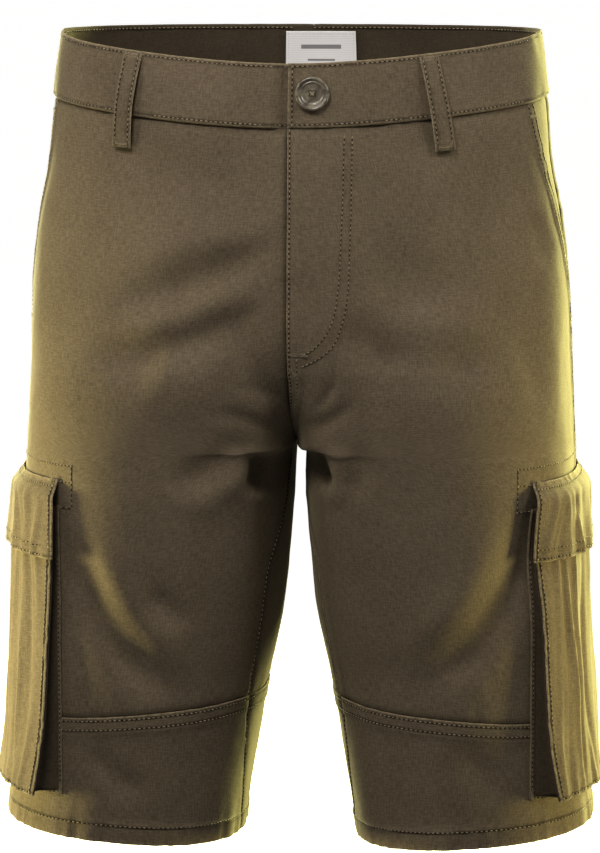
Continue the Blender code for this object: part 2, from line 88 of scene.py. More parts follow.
# Creases: face is -1 for the front and 1 for the back, each runs between two points
# of the front view, bent sideways by bend, and is a trough below 0 or a ridge above it.
creaseNames = ("face", "x0", "z0", "x1", "z1", "bend", "width", "depth")
creases = [
    (-1, -0.130, -0.072, -0.005, -0.097, -0.004, 0.020, -0.0014),
    (-1, -0.094, -0.143, -0.013, -0.125, 0.004, 0.011, 0.0013),
    (-1, -0.106, -0.168, -0.012, -0.132, -0.005, 0.012, -0.0024),
    (-1, -0.104, -0.188, -0.019, -0.158, -0.004, 0.010, 0.0018),
    (-1, -0.124, -0.205, -0.030, -0.174, -0.008, 0.013, -0.0032),
    (-1, -0.031, -0.176, -0.008, -0.232, -0.005, 0.009, -0.0020),
    (-1, -0.085, -0.212, -0.050, -0.226, 0.003, 0.018, 0.0022),
    (-1, -0.134, -0.330, -0.077, -0.420, -0.010, 0.012, -0.0036),
    (-1, -0.120, -0.322, -0.070, -0.392, -0.008, 0.011, 0.0012),
    (-1, -0.087, -0.354, -0.068, -0.374, 0.0, 0.008, -0.0016),
    (-1, -0.070, -0.284, -0.027, -0.256, -0.003, 0.011, -0.0026),
    (-1, -0.060, -0.300, -0.024, -0.270, -0.002, 0.010, 0.0014),
    (-1, -0.127, -0.458, -0.097, -0.486, -0.003, 0.009, -0.0022),
    (-1, -0.045, -0.238, -0.010, -0.250, 0.002, 0.005, -0.0011),
    (-1, -0.032, -0.220, -0.006, -0.228, 0.0, 0.004, -0.0008),
    (-1, 0.152, -0.312, 0.090, -0.412, 0.012, 0.014, -0.0042),
    (-1, 0.134, -0.300, 0.078, -0.382, 0.010, 0.012, 0.0014),
    (-1, 0.044, -0.258, 0.040, -0.290, 0.002, 0.009, -0.0018),
    (-1, -0.017, -0.268, -0.021, -0.290, 0.001, 0.0085, -0.0062),
    (-1, -0.034, -0.262, -0.036, -0.290, 0.002, 0.007, 0.0014),
    (-1, 0.013, -0.266, 0.022, -0.288, -0.001, 0.0075, -0.0052),
    (-1, 0.034, -0.262, 0.030, -0.296, 0.002, 0.007, 0.0016),
    (-1, 0.032, -0.186, 0.068, -0.206, 0.004, 0.016, -0.0020),
    (-1, 0.124, -0.207, 0.052, -0.192, 0.006, 0.015, -0.0024),
    (-1, 0.122, -0.148, 0.058, -0.166, -0.004, 0.018, -0.0014),
    (-1, 0.126, -0.182, 0.070, -0.176, 0.003, 0.012, 0.0014),
    (-1, 0.146, -0.196, 0.158, -0.232, 0.002, 0.007, -0.0016),
    (-1, 0.154, -0.118, 0.160, -0.146, 0.0, 0.006, -0.0012),
    (-1, 0.030, -0.202, 0.020, -0.233, 0.004, 0.0032, -0.0011),
    (-1, 0.041, -0.232, 0.012, -0.249, 0.002, 0.005, -0.0012),
    (-1, 0.110, -0.455, 0.132, -0.484, 0.002, 0.010, -0.0016),
    (1, -0.126, -0.183, -0.028, -0.206, 0.008, 0.014, -0.0030),
    (1, -0.112, -0.206, -0.030, -0.224, 0.006, 0.010, 0.0016),
    (1, 0.119, -0.190, 0.024, -0.215, -0.008, 0.015, -0.0032),
    (1, 0.100, -0.214, 0.028, -0.233, -0.005, 0.010, 0.0015),
    (1, -0.058, -0.264, -0.130, -0.312, 0.006, 0.014, -0.0038),
    (1, -0.040, -0.276, -0.110, -0.330, 0.006, 0.010, 0.0015),
    (1, 0.050, -0.268, 0.126, -0.324, -0.007, 0.013, -0.0035),
    (1, 0.036, -0.285, 0.092, -0.336, -0.005, 0.009, 0.0013),
    (1, 0.084, -0.388, 0.142, -0.427, -0.004, 0.012, -0.0026),
    (1, -0.070, -0.402, -0.118, -0.436, 0.003, 0.011, -0.0020),
    (1, 0.080, -0.082, 0.020, -0.104, 0.003, 0.016, -0.0014),
    (1, -0.096, -0.076, -0.030, -0.094, 0.003, 0.015, -0.0012),
    (1, -0.020, -0.246, -0.062, -0.256, 0.0, 0.006, -0.0014),
    (1, 0.018, -0.250, 0.056, -0.264, 0.0, 0.006, -0.0015),
]


def between(table, names, column, level):
    # a column of a table at any level, on a smooth curve through its rows
    keys = -table[:, 0]
    values = table[:, names.index(column)]
    low = np.clip(np.arange(len(keys)) - 1, 0, None)
    high = np.clip(np.arange(len(keys)) + 1, None, len(keys) - 1)
    slopes = (values[high] - values[low]) / (keys[high] - keys[low])
    i = np.clip(np.searchsorted(keys, -level, side="right") - 1, 0, len(keys) - 2)
    span = keys[i + 1] - keys[i]
    t = (-level - keys[i]) / span
    start = values[i] * (1 + 2 * t) * (1 - t) ** 2 + slopes[i] * span * t * (1 - t) ** 2
    end = values[i + 1] * t * t * (3 - 2 * t) + slopes[i + 1] * span * t * t * (t - 1)
    return start + end


def smoothStep(value):
    t = np.clip(value, 0.0, 1.0)
    return t * t * (3 - 2 * t)


def section(column, level):
    return between(sections, sectionNames, column, level)


def ringAt(level):
    # centre and half width, in x, of one side's ring
    outer = section("outer", level)
    square = section("square", level)
    drop = np.clip((body["forkTop"] - level) / (body["forkTop"] - body["crotch"]), 0.0, 1.0)
    reach = (1 - drop ** body["forkStart"]) ** (1 / body["forkEnd"])
    shift = (1 - reach ** square) ** (1 / square)
    inner = np.where(level > body["forkTop"], 0.0, np.maximum(section("inner", level), seamGap / 2))
    shift = np.where(level > body["crotch"], shift, 1.0)
    half = (outer - inner) / (1 + shift)
    return outer - half, half


def plainPoint(side, level, angle):
    # a point of the smooth garment, the angle going from the side seam to the front
    level, angle = np.broadcast_arrays(np.asarray(level, float), np.asarray(angle, float))
    centre, half = ringAt(level)
    across, ahead = np.cos(np.radians(angle)), np.sin(np.radians(angle))
    deep = np.where(ahead > 0, section("front", level), section("back", level))
    power = np.where(across >= 0, body["roundness"], section("square", level))
    reach = ((np.abs(across) / half) ** power + (np.abs(ahead) / deep) ** power) ** (-1 / power)
    x = reach * across
    z = level - section("dip", level) * np.clip(ahead, 0.0, None) ** body["dipPower"]
    z = z + section("lean", level) * x / half
    return np.stack([side * (centre + x), -reach * ahead, z], axis=-1)


def creaseDepth(points):
    # the creases, each measured from a short bent path in the front view
    x, y, z = points[..., 0], points[..., 1], points[..., 2]
    total = np.zeros(x.shape)
    for row in creases:
        c = dict(zip(creaseNames, row))
        start, end = np.array([c["x0"], c["z0"]]), np.array([c["x1"], c["z1"]])
        run = end - start
        length = np.hypot(*run)
        sideways = np.array([-run[1], run[0]]) / length
        near = (np.sign(y) == c["face"]) & (np.abs(x - (start + end)[0] / 2) < length / 2 + 0.05)
        near &= np.abs(z - (start + end)[1] / 2) < length / 2 + 0.05
        if not near.any():
            continue
        px, pz = x[near] - start[0], z[near] - start[1]
        along = np.clip((px * run[0] + pz * run[1]) / length ** 2, -0.4, 1.4)
        across = px * sideways[0] + pz * sideways[1]
        across = across - c["bend"] * 4 * np.clip(along, 0, 1) * (1 - np.clip(along, 0, 1))
        ends = smoothStep((along + 0.22) / 0.5) * smoothStep((1.22 - along) / 0.5)
        total[near] += body["creaseGain"] * c["depth"] * ends * np.exp(-(across / c["width"]) ** 2)
    return total * smoothStep(np.abs(y) / body["creaseFade"])


def wobble(points, size, seed):
    # soft unevenness of handled cloth
    flat = points.reshape(-1, 3) / size
    values = [noise.noise((p[0] + seed, p[1], p[2])) for p in flat]
    return np.array(values).reshape(points.shape[:-1])


def relief(points):
    return creaseDepth(points) + sum(height * wobble(points, size, seed)
                                     for height, size, seed in body["handled"])


def normalAt(side, level, angle):
    around = plainPoint(side, level, angle + 0.25) - plainPoint(side, level, angle - 0.25)
    down = plainPoint(side, level - 0.0005, angle) - plainPoint(side, level + 0.0005, angle)
    normal = side * np.cross(around, down)
    return normal / np.linalg.norm(normal, axis=-1, keepdims=True)


def skin(side, level, angle, out=0.0, back=None):
    # points of the creased cloth moved out, and with back also the wall's inner side
    points = plainPoint(side, level, angle)
    normal = normalAt(side, level, angle)
    lift = (relief(points) + out)[..., None]
    if back is None:
        return points + normal * lift
    return points + normal * lift, points + normal * (lift - back)


def angleAt(level, x, face=-1):
    # where the front or back of a ring passes |x|
    centre, half = ringAt(level)
    power = np.where(x >= centre, body["roundness"], section("square", level))
    share = np.clip(np.abs((x - centre) / half), 0.0, 1.0)
    y = section("front" if face < 0 else "back", level) * (1 - share ** power) ** (1 / power)
    return -face * np.degrees(np.arctan2(y, x - centre))


def gapAngle(level):
    return np.degrees(seamGap / 2 / ringAt(level)[1])


def innerEdge(level, face):
    # where a front or back ends: the middle seam, and lower down the inseam
    turn = section("inseam", level)
    leg = 180 - turn - gapAngle(level) if face < 0 else -180 - turn + gapAngle(level)
    return np.where(level > body["crotch"], angleAt(level, seamGap / 2, face), leg)


def arcRate(side, level, angle):
    # metres round the ring for each degree
    step = plainPoint(side, level, angle + 0.2) - plainPoint(side, level, angle - 0.2)
    return np.linalg.norm(step, axis=-1) / 0.4


cloth = {
    "wall": 0.0011,
    "spacing": 0.0031,
    "under": 0.0011,          # how far a tucked edge runs on under its neighbour
    "stitchRow": 0.0019,      # from a folded edge to its topstitching
    "secondRow": 0.0079,
    "lift": 0.0007,
    "innerShade": 0.85,       # painted shade on the inner side of every piece
    "sunk": 0.00028,          # how deep a row of stitches pulls in
    "sunkWidth": 0.0006,
    "rowShadeWidth": 0.0007,
    "tuck": 0.0010,           # how deep a tucked edge goes down at its seam
    "tuckReach": 0.0024,
    "calmTurn": 150.0,        # degrees past which an end's quick turns are left to the last columns
    "foldShade": (0.0034, 0.0045, 0.6),  # painted shade in deep folds: where it begins, over what depth, how much
    "edgeSteps": (0.0, 0.0003, 0.0007, 0.0013, 0.0019, 0.0025, 0.0034, 0.0048, 0.0062, 0.0073,
                  0.0079, 0.0085, 0.0098, 0.0112, 0.0127),
    "plainSteps": (0.0, 0.0005, 0.0011, 0.0020),
}


def foldedEdge(distance, rows, lift, lip, allowance):
    # a seam allowance turned under: a round lip, a low ridge and sunk lines of stitching
    out = lift * (1 - smoothStep((distance - allowance) / 0.0024))
    for row in rows:
        out = out - cloth["sunk"] * np.exp(-((distance - row) / cloth["sunkWidth"]) ** 2)
    return out, np.sqrt(1 - np.clip(1 - distance / lip, 0.0, 1.0) ** 2)


def arcDistances(points):
    # how far every point of a grid lies from its four edges, along the cloth
    across = np.linalg.norm(np.diff(points, axis=1), axis=-1)
    down = np.linalg.norm(np.diff(points, axis=0), axis=-1)
    fromStart = np.concatenate([np.zeros((len(points), 1)), across.cumsum(axis=1)], axis=1)
    fromTop = np.concatenate([np.zeros((1, points.shape[1])), down.cumsum(axis=0)], axis=0)
    return {"start": fromStart, "end": fromStart[:, -1:] - fromStart,
            "top": fromTop, "bottom": fromTop[-1:] - fromTop}


def seamRelief(distances, edges, wall):
    # edges gives for each finished edge its kind, stitch rows and allowance
    out, lips = 0.0, 1.0
    holesAndShade, wearAndHighlight = 0.0, 0.0
    for edge, (kind, rows, allowance) in edges.items():
        d = distances[edge]
        if kind == "fold":
            lift, lip = foldedEdge(d, rows, cloth["lift"], wall / 2, allowance)
            out = np.where(np.abs(lift) > np.abs(out), np.minimum(lift + np.minimum(out, 0), 1), out)
            lips = lips * lip
            # folded edges lighter: partly rubbed wear, partly a painted highlight where the lip catches
            # light
            wearAndHighlight = np.maximum(wearAndHighlight, np.exp(-d / 0.0011))
            # dark needle holes along each stitch row, with painted shade in its sunk channel
            for row in rows:
                holesAndShade = np.maximum(holesAndShade, np.exp(-((d - row) / cloth["rowShadeWidth"]) ** 2))
        else:
            out = out - cloth["tuck"] * np.exp(-(d / cloth["tuckReach"]) ** 2)
            # painted shade in the ditch beside a tucked seam
            holesAndShade = np.maximum(holesAndShade, 0.9 * np.exp(-(d / 0.0022) ** 2))
    return out, lips, holesAndShade, wearAndHighlight


def puckers(distances, edges):
    # the small uneven ripples that seams pull into the cloth beside them
    total = 0.0
    for edge, (reach, height, wave, seed) in edges.items():
        other = distances["start" if edge in ("top", "bottom") else "top"]
        d = distances[edge]
        bend = 1.6 * np.sin(2 * math.pi * other / (wave * 2.7) + seed)
        swell = 0.55 + 0.45 * np.sin(2 * math.pi * other / (wave * 4.3) + 2 * seed)
        ripple = np.sin(2 * math.pi * other / wave + bend) * swell
        total = total + height * ripple * np.exp(-(d / reach) ** 2)
    return total


def gridFaces(rows, columns):
    number = np.arange(rows * columns).reshape(rows, columns)
    quads = np.stack([number[:-1, :-1], number[:-1, 1:], number[1:, 1:], number[1:, :-1]], axis=-1)
    rim = np.concatenate([number[0], number[1:, -1], number[-1, -2::-1], number[-2:0:-1, 0]])
    after, total = np.roll(rim, -1), rows * columns
    rimFaces = np.stack([rim, after, after + total, rim + total], axis=-1)
    quads = quads.reshape(-1, 4)
    return np.concatenate([quads, quads[:, ::-1] + total, rimFaces[:, ::-1]])


def makePiece(name, verts, faces, material, uv=None, attributes=None):
    mesh = bpy.data.meshes.new(name)
    mesh.from_pydata(np.asarray(verts, float).tolist(), [], [list(map(int, f)) for f in faces])
    bm = bmesh.new()
    bm.from_mesh(mesh)
    if bm.calc_volume(signed=True) < 0:
        bmesh.ops.reverse_faces(bm, faces=bm.faces)
    bm.to_mesh(mesh)
    bm.free()
    if uv is not None:
        index = np.zeros(len(mesh.loops), dtype=np.int32)
        mesh.loops.foreach_get("vertex_index", index)
        mesh.uv_layers.new(name="cut").data.foreach_set("uv", np.asarray(uv, np.float32)[index].ravel())
    for key, values in (attributes or {}).items():
        mesh.attributes.new(key, "FLOAT", "POINT").data.foreach_set("value", values)
    mesh.materials.append(material)
    mesh.shade_smooth()
    obj = bpy.data.objects.new(name, mesh)
    bpy.context.scene.collection.objects.link(obj)
    return obj


def clothPiece(name, face, back, material, nodes, wearAndHighlight, holesAndShade):
    # a thin closed wall between two like grids, with a flat uv map laid out from its rows and columns
    rows, columns = face.shape[:2]
    widths = np.linalg.norm(np.diff(face, axis=1), axis=-1)
    lengths = np.linalg.norm(np.diff(face, axis=0), axis=-1)
    u = np.concatenate([np.zeros((rows, 1)), widths.cumsum(axis=1)], axis=1)
    u = u - u[:, -1:] / 2
    v = np.concatenate([[0.0], lengths.mean(axis=1).cumsum()])[:, None] + 0 * u
    uv = np.stack([u, -v], axis=-1).reshape(-1, 2)
    holesAndShade = (holesAndShade + np.zeros((rows, columns))).ravel()
    wearAndHighlight = (wearAndHighlight + np.zeros((rows, columns))).ravel()
    # the inner side is painted darker as shade, and gets less of the edge lightening
    obj = makePiece(name + "_cloth", np.concatenate([face.reshape(-1, 3), back.reshape(-1, 3)]),
                    gridFaces(rows, columns), material, np.concatenate([uv, uv]),
                    {"wearAndHighlight": np.concatenate([wearAndHighlight, wearAndHighlight * 0.4]),
                     "holesAndShade": np.concatenate([holesAndShade, np.maximum(holesAndShade * 0.5, cloth["innerShade"])])})
    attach(obj, "root")
    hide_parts(*nodes)
    return obj


def columnsFor(side, levels, start, end, startSteps, endSteps):
    # the angles of a grid: fine steps beside both edges, even ones between them
    sign = np.sign(end - start)[:, None]
    nearStart = start[:, None] + sign * np.array(startSteps) / arcRate(side, levels, start)[:, None]
    nearEnd = end[:, None] - sign * np.array(endSteps)[::-1] / arcRate(side, levels, end)[:, None]
    middle = (start + end) / 2
    widest = np.abs(nearEnd[:, 0] - nearStart[:, -1]) * arcRate(side, levels, middle)
    count = int(widest.max() / cloth["spacing"]) + 1
    share = np.linspace(0, 1, count + 1)[1:-1]
    # the quick turn of the end at the crotch is left to the last columns
    calm = np.sign(nearEnd[:, :1]) * np.minimum(np.abs(nearEnd[:, :1]), cloth["calmTurn"])
    middleColumns = (nearStart[:, -1:] + (calm - nearStart[:, -1:]) * share
                     + (nearEnd[:, :1] - calm) * share ** 4)
    return np.concatenate([nearStart, middleColumns, nearEnd], axis=1)


def levelsFor(top, bottom, topSteps, bottomSteps, through=()):
    low, high = bottom + bottomSteps[-1], top - topSteps[-1]
    middle = np.linspace(high, low, int((high - low) / cloth["spacing"]) + 1)[1:-1]
    middle = middle[[all(abs(value - mark) > 0.0009 for mark in through) for value in middle]]
    ends = [top - np.array(topSteps), bottom + np.array(bottomSteps)]
    return np.sort(np.concatenate(ends + [middle, np.array(through)]))[::-1]


def edgeSteps(edges, edge):
    return cloth["edgeSteps"] if edges.get(edge, ("",))[0] == "fold" else cloth["plainSteps"]


def bodyPanel(name, side, levels, starts, ends, edges, out=None, ripples=None, wall=None,
              material=None, nodes=None):
    # starts and ends are the angles of the panel's two long edges at each level
    wall = wall or cloth["wall"]
    angles = columnsFor(side, levels, starts, ends, edgeSteps(edges, "start"), edgeSteps(edges, "end"))
    levelGrid = levels[:, None] + 0 * angles
    plain = plainPoint(side, levelGrid, angles)
    distances = arcDistances(plain)
    seams, lips, holesAndShade, wearAndHighlight = seamRelief(distances, edges, wall)
    lift = seams + puckers(distances, ripples or {})
    lift = lift + (out(levelGrid, angles) if out else 0.0)
    half = wall / 2
    middle = lift - half
    # painted shade in the deep creases
    begins, over, most = cloth["foldShade"]
    holesAndShade = np.maximum(holesAndShade, most * smoothStep((-creaseDepth(plain) - begins) / over))
    face = skin(side, levelGrid, angles, middle + half * lips)
    back = skin(side, levelGrid, angles, middle - half * lips * 0.96 - 0.00002)
    return clothPiece(name, face, back, material or canvas, nodes or [name], wearAndHighlight, holesAndShade)


def linear(hexColour):
    # sRGB hex to linear
    values = [int(hexColour[i:i + 2], 16) / 255 for i in (1, 3, 5)]
    return tuple(v / 12.92 if v <= 0.04045 else ((v + 0.055) / 1.055) ** 2.4 for v in values) + (1.0,)


def addNode(tree, kind, settings=None, links=None):
    # settings are properties or input values, links join inputs to other nodes' outputs
    node = tree.nodes.new(kind)
    for key, value in (settings or {}).items():
        if hasattr(node, str(key)):
            setattr(node, key, value)
        else:
            node.inputs[key].default_value = value
    for key, socket in (links or {}).items():
        tree.links.new(socket, node.inputs[key])
    return node


def newMaterial(name, settings):
    material = bpy.data.materials.new(name)
    material.use_nodes = True
    tree = material.node_tree
    shader = tree.nodes["Principled BSDF"]
    for key, value in settings.items():
        shader.inputs[key].default_value = value
    return material, tree, shader


canvasLook = {
    "dye": "#706452",         # brown olive piece-dyed cotton
    "deep": "#403629",        # between the yarns, and where the dye took best
    "worn": "#94866c",        # rubbed edges, and a painted highlight where folded edges catch light
    "seam": "#1d160d",        # the needle holes, and painted shade in stitched rows, tucked seams, deep folds, the gusset and the inner side
    "yarn": 0.00085,          # metres; a real yarn is 0.45 mm, drawn coarser to show
    "slub": 0.0052,
    "relief": 0.00026,
    "roughness": 0.86,
    "sheen": 0.22,
}


def canvasMaterial(name, look):
    # cotton canvas, dyed as a piece and brushed: dry, with slubs in both directions
    material, tree, shader = newMaterial(name, {
        "Roughness": look["roughness"], "Sheen Weight": look["sheen"], "Sheen Roughness": 0.45,
        "Sheen Tint": linear("#d8c9a0"), "Specular IOR Level": 0.22, "IOR": 1.47})
    uv = addNode(tree, "ShaderNodeUVMap", {"uv_map": "cut"}).outputs["UV"]
    yarns = []
    for along, over in ((look["slub"], look["yarn"]), (look["yarn"], look["slub"])):
        mapping = addNode(tree, "ShaderNodeMapping", {"Scale": (1 / along, 1 / over, 1.0)}, {"Vector": uv})
        yarns.append(addNode(tree, "ShaderNodeTexNoise", {"Scale": 1.0, "Detail": 2.0, "Roughness": 0.6},
                             {"Vector": mapping.outputs["Vector"]}).outputs["Fac"])
    weave = addNode(tree, "ShaderNodeMix", {"data_type": "FLOAT", "Factor": 0.5},
                    {"A": yarns[0], "B": yarns[1]}).outputs["Result"]
    place = addNode(tree, "ShaderNodeTexCoord").outputs["Object"]
    patches = addNode(tree, "ShaderNodeTexNoise", {"Scale": 16.0, "Detail": 4.0, "Roughness": 0.62},
                      {"Vector": place}).outputs["Fac"]
    grain = addNode(tree, "ShaderNodeMapRange",
                    {"From Min": 0.40, "From Max": 0.60, "To Min": 0.0, "To Max": 1.0},
                    {"Value": weave}).outputs["Result"]
    blend = addNode(tree, "ShaderNodeMath", {"operation": "MULTIPLY_ADD", 1: 0.55}, {0: grain})
    cloud = addNode(tree, "ShaderNodeMath", {"operation": "MULTIPLY", 1: 0.75}, {0: patches})
    tree.links.new(cloud.outputs["Value"], blend.inputs[2])
    dyed = addNode(tree, "ShaderNodeMix", {"data_type": "RGBA", "A": linear(look["deep"]),
                                           "B": linear(look["dye"])}, {"Factor": blend.outputs["Value"]})
    # folded edges lighter: partly rubbed wear, partly a painted highlight where they catch light
    wearAndHighlight = addNode(tree, "ShaderNodeAttribute", {"attribute_name": "wearAndHighlight"}).outputs["Fac"]
    edgeLightening = addNode(tree, "ShaderNodeMath", {"operation": "MULTIPLY"}, {0: wearAndHighlight, 1: grain})
    worn = addNode(tree, "ShaderNodeMix", {"data_type": "RGBA", "B": linear(look["worn"])},
                   {"Factor": edgeLightening.outputs["Value"], "A": dyed.outputs["Result"]})
    # darkened by this mask: the needle holes, and painted shade in stitched rows, tucked seams, deep folds,
    # the gusset and the inner side
    holesAndShade = addNode(tree, "ShaderNodeAttribute", {"attribute_name": "holesAndShade"}).outputs["Fac"]
    depth = addNode(tree, "ShaderNodeMath", {"operation": "MULTIPLY", 1: 0.8}, {0: holesAndShade})
    sunk = addNode(tree, "ShaderNodeMix", {"data_type": "RGBA", "B": linear(look["seam"])},
                   {"Factor": depth.outputs["Value"], "A": worn.outputs["Result"]})
    tree.links.new(sunk.outputs["Result"], shader.inputs["Base Color"])
    bump = addNode(tree, "ShaderNodeBump", {"Strength": 1.0, "Distance": look["relief"]},
                   {"Height": weave})
    tree.links.new(bump.outputs["Normal"], shader.inputs["Normal"])
    return material


canvas = canvasMaterial("brushedCottonCanvas", canvasLook)


def threadMaterial():
    # spun polyester core thread, twisted, in a tone below the cloth's
    material, tree, shader = newMaterial("spunPolyesterThread", {
        "Roughness": 0.6, "Sheen Weight": 0.1, "Specular IOR Level": 0.35, "IOR": 1.5})
    place = addNode(tree, "ShaderNodeTexCoord").outputs["Object"]
    shade = addNode(tree, "ShaderNodeTexNoise", {"Scale": 420.0, "Detail": 2.0}, {"Vector": place})
    tone = addNode(tree, "ShaderNodeMix", {"data_type": "RGBA", "A": linear("#564a38"),
                                           "B": linear("#a3957a")}, {"Factor": shade.outputs["Fac"]})
    tree.links.new(tone.outputs["Result"], shader.inputs["Base Color"])
    return material


thread = threadMaterial()


stitchRow, secondRow = cloth["stitchRow"], cloth["secondRow"]


def mouthAngle(name, level):
    share = (np.asarray(level) - body["mouthBottom"]) / (body["bandBottom"] - body["mouthBottom"])
    return body["mouthAngle"][name] * np.clip(share, 0.0, None)


crotchSteps = (0.0098, 0.0075, 0.0056, 0.0041, 0.0031, 0.0023, 0.0016, 0.0010, 0.0007, 0.0004,
               0.0002, 0.0, -0.0008, -0.0018, -0.0028, -0.004, -0.006)
bodyMarks = (-0.190, -0.213) + tuple(body["crotch"] + step for step in crotchSteps)
bodyLevels = levelsFor(body["bandBottom"] + cloth["under"], body["legSeam"] - cloth["under"],
                       cloth["plainSteps"], cloth["plainSteps"], bodyMarks)
lowerLevels = levelsFor(body["legSeam"] - seamGap / 2, body["hem"], cloth["edgeSteps"],
                        (0.0, 0.0003, 0.0007, 0.0013, 0.0025, 0.0045, 0.007, 0.0095, 0.0108,
                         0.0115, 0.0122, 0.0129, 0.0145))
hemRow = 0.0115
fork = {"row": 0.0015, "second": 0.0065}


def underTurn(side, levels, angles):
    return cloth["under"] / arcRate(side, levels, angles)


def flyLift(side):
    # the left front's fly facing makes it thicker beside the middle
    def out(level, angle):
        if side < 0:
            return 0.0 * angle
        return 0.0008 * smoothStep((angle - 65) / 8) * smoothStep((level + 0.222) / 0.012)
    return out


for name, side in sides.items():
    gap = gapAngle(bodyLevels)
    mouth = mouthAngle(name, bodyLevels) + gap
    frontEnds = innerEdge(bodyLevels, -1)
    if side < 0:
        frontEnds = frontEnds + underTurn(side, bodyLevels, frontEnds)
    frontEdges = {"top": ("tuck", (), 0), "bottom": ("tuck", (), 0),
                  "start": ("fold", (stitchRow, secondRow), 0.0095)}
    ripples = {"start": (0.012, 0.00035, 0.021, 1.0 + side), "bottom": (0.012, 0.0003, 0.019, 2.0),
               "top": (0.014, 0.0004, 0.033, 0.7 + side), "end": (0.009, 0.00028, 0.017, 3.0)}
    frontEdges["end"] = ("fold", (fork["row"],), 0.0088) if side > 0 else ("tuck", (), 0)
    bodyPanel("front_" + name, side, bodyLevels, mouth, frontEnds, frontEdges, flyLift(side), ripples)

    backEdges = {"top": ("tuck", (), 0), "bottom": ("tuck", (), 0), "start": ("tuck", (), 0),
                 "end": ("fold", (stitchRow, secondRow), 0.0095) if side > 0 else ("tuck", (), 0)}
    ripples = {"top": (0.014, 0.0004, 0.037, 2.0 + side), "start": (0.010, 0.0003, 0.019, 4.0),
               "end": (0.010, 0.0003, 0.018, 5.0), "bottom": (0.012, 0.0003, 0.02, 1.0)}
    backEnds = innerEdge(bodyLevels, 1)
    if side < 0:
        backEnds = backEnds - underTurn(side, bodyLevels, backEnds)
    bodyPanel("back_" + name, side, bodyLevels, underTurn(side, bodyLevels, gap), backEnds, backEdges,
              None, ripples)

    gap = gapAngle(lowerLevels)
    lowerEdges = {"top": ("fold", (0.0025, 0.0088), 0.0112), "bottom": ("fold", (hemRow,), 0.0128),
                  "start": ("tuck", (), 0), "end": ("tuck", (), 0)}
    ripples = {"bottom": (0.017, 0.0008, 0.0135, 1.5 + side), "top": (0.010, 0.0003, 0.021, 3.5),
               "end": (0.009, 0.0003, 0.017, 2.5)}
    bodyPanel("lower_front_" + name, side, lowerLevels, gap, innerEdge(lowerLevels, -1), lowerEdges,
              None, ripples)
    ripples = {"bottom": (0.017, 0.0009, 0.014, 4.5 + side), "top": (0.010, 0.0003, 0.022, 0.5)}
    backEnds = innerEdge(lowerLevels, 1)
    backEnds = backEnds - underTurn(side, lowerLevels, backEnds)
    bodyPanel("lower_back_" + name, side, lowerLevels, underTurn(side, lowerLevels, gap), backEnds,
              lowerEdges, None, ripples)

    # the pocket bearer dives under the front at the slanted mouth
    levels = bodyLevels[bodyLevels >= body["mouthBottom"] - 1e-6]
    opening = mouthAngle(name, levels)
    start = gapAngle(levels)

    def bearerOut(level, angle, name=name):
        edge = np.maximum(mouthAngle(name, level) - 0.4, 0.05)
        dive = np.where(edge > 0.5, smoothStep(angle / edge), 1.0)
        return -0.0014 - 0.0008 * dive * smoothStep((body["bandBottom"] - level) / 0.02)

    bodyPanel("pocket_bearer_" + name, side, levels, start, opening + 6.0,
              {"top": ("tuck", (), 0), "start": ("tuck", (), 0)}, bearerOut)
print("body panels made")


band = {
    "top": 0.0,
    "bottom": -0.041,
    "wall": 0.0024,
    "out": 0.0008,
    "row": 0.0022,
    "lapTurn": 107.0,
    "lapStart": 84.0,         # the angle where the right half goes under the left
    "lapSlope": 5.5,
    "lapDive": 0.0034,
}


def bandOut(level, angle):
    # padding between the two stitched rows, unevenly filled
    down = (band["top"] - level) / (band["top"] - band["bottom"])
    belly = np.sin(math.pi * np.clip(down, 0, 1)) ** 0.7
    drift = 0.5 + 0.5 * np.sin(np.radians(angle) * 5.3 + 1.2) * np.sin(np.radians(angle) * 2.1)
    return band["out"] + 0.0005 * belly * drift


def bandDive(level, angle):
    lap = band["lapDive"] * smoothStep((angle - band["lapStart"]) / band["lapSlope"])
    return bandOut(level, angle) - lap


bandLevels = levelsFor(band["top"], band["bottom"],
                       (0.0, 0.00025, 0.0006, 0.0011, 0.0016, 0.0022, 0.0028, 0.004),
                       (0.0, 0.00025, 0.0006, 0.0011, 0.0016, 0.0022, 0.0028, 0.004))
backEnd = -90 + gapAngle(bandLevels)
bandEdges = {"top": ("fold", (band["row"],), 0.05), "bottom": ("fold", (band["row"],), 0.05)}
bandRipples = {"top": (0.012, 0.00035, 0.031, 1.0), "bottom": (0.013, 0.00045, 0.024, 2.0)}
bodyPanel("waistband_left", 1, bandLevels, backEnd, angleAt(bandLevels, seamGap / 2),
          dict(bandEdges, start=("tuck", (), 0), end=("fold", (0.0028,), 0.05)), bandOut,
          bandRipples, band["wall"])
bandRipples = {"top": (0.012, 0.00035, 0.029, 3.0), "bottom": (0.013, 0.00045, 0.026, 4.0)}
bodyPanel("waistband_right", -1, bandLevels, backEnd, 0 * bandLevels + band["lapTurn"],
          dict(bandEdges, start=("tuck", (), 0)), bandDive, bandRipples, band["wall"])

# the shield behind the fly
levels = bodyLevels[bodyLevels > body["flyBottom"] + 0.001]
bodyPanel("fly_shield", 1, levels, angleAt(levels, 0.036), 180 - angleAt(levels, 0.012), {},
          lambda level, angle: -0.0022 + 0.0 * angle)
print("waistband and fly shield made")


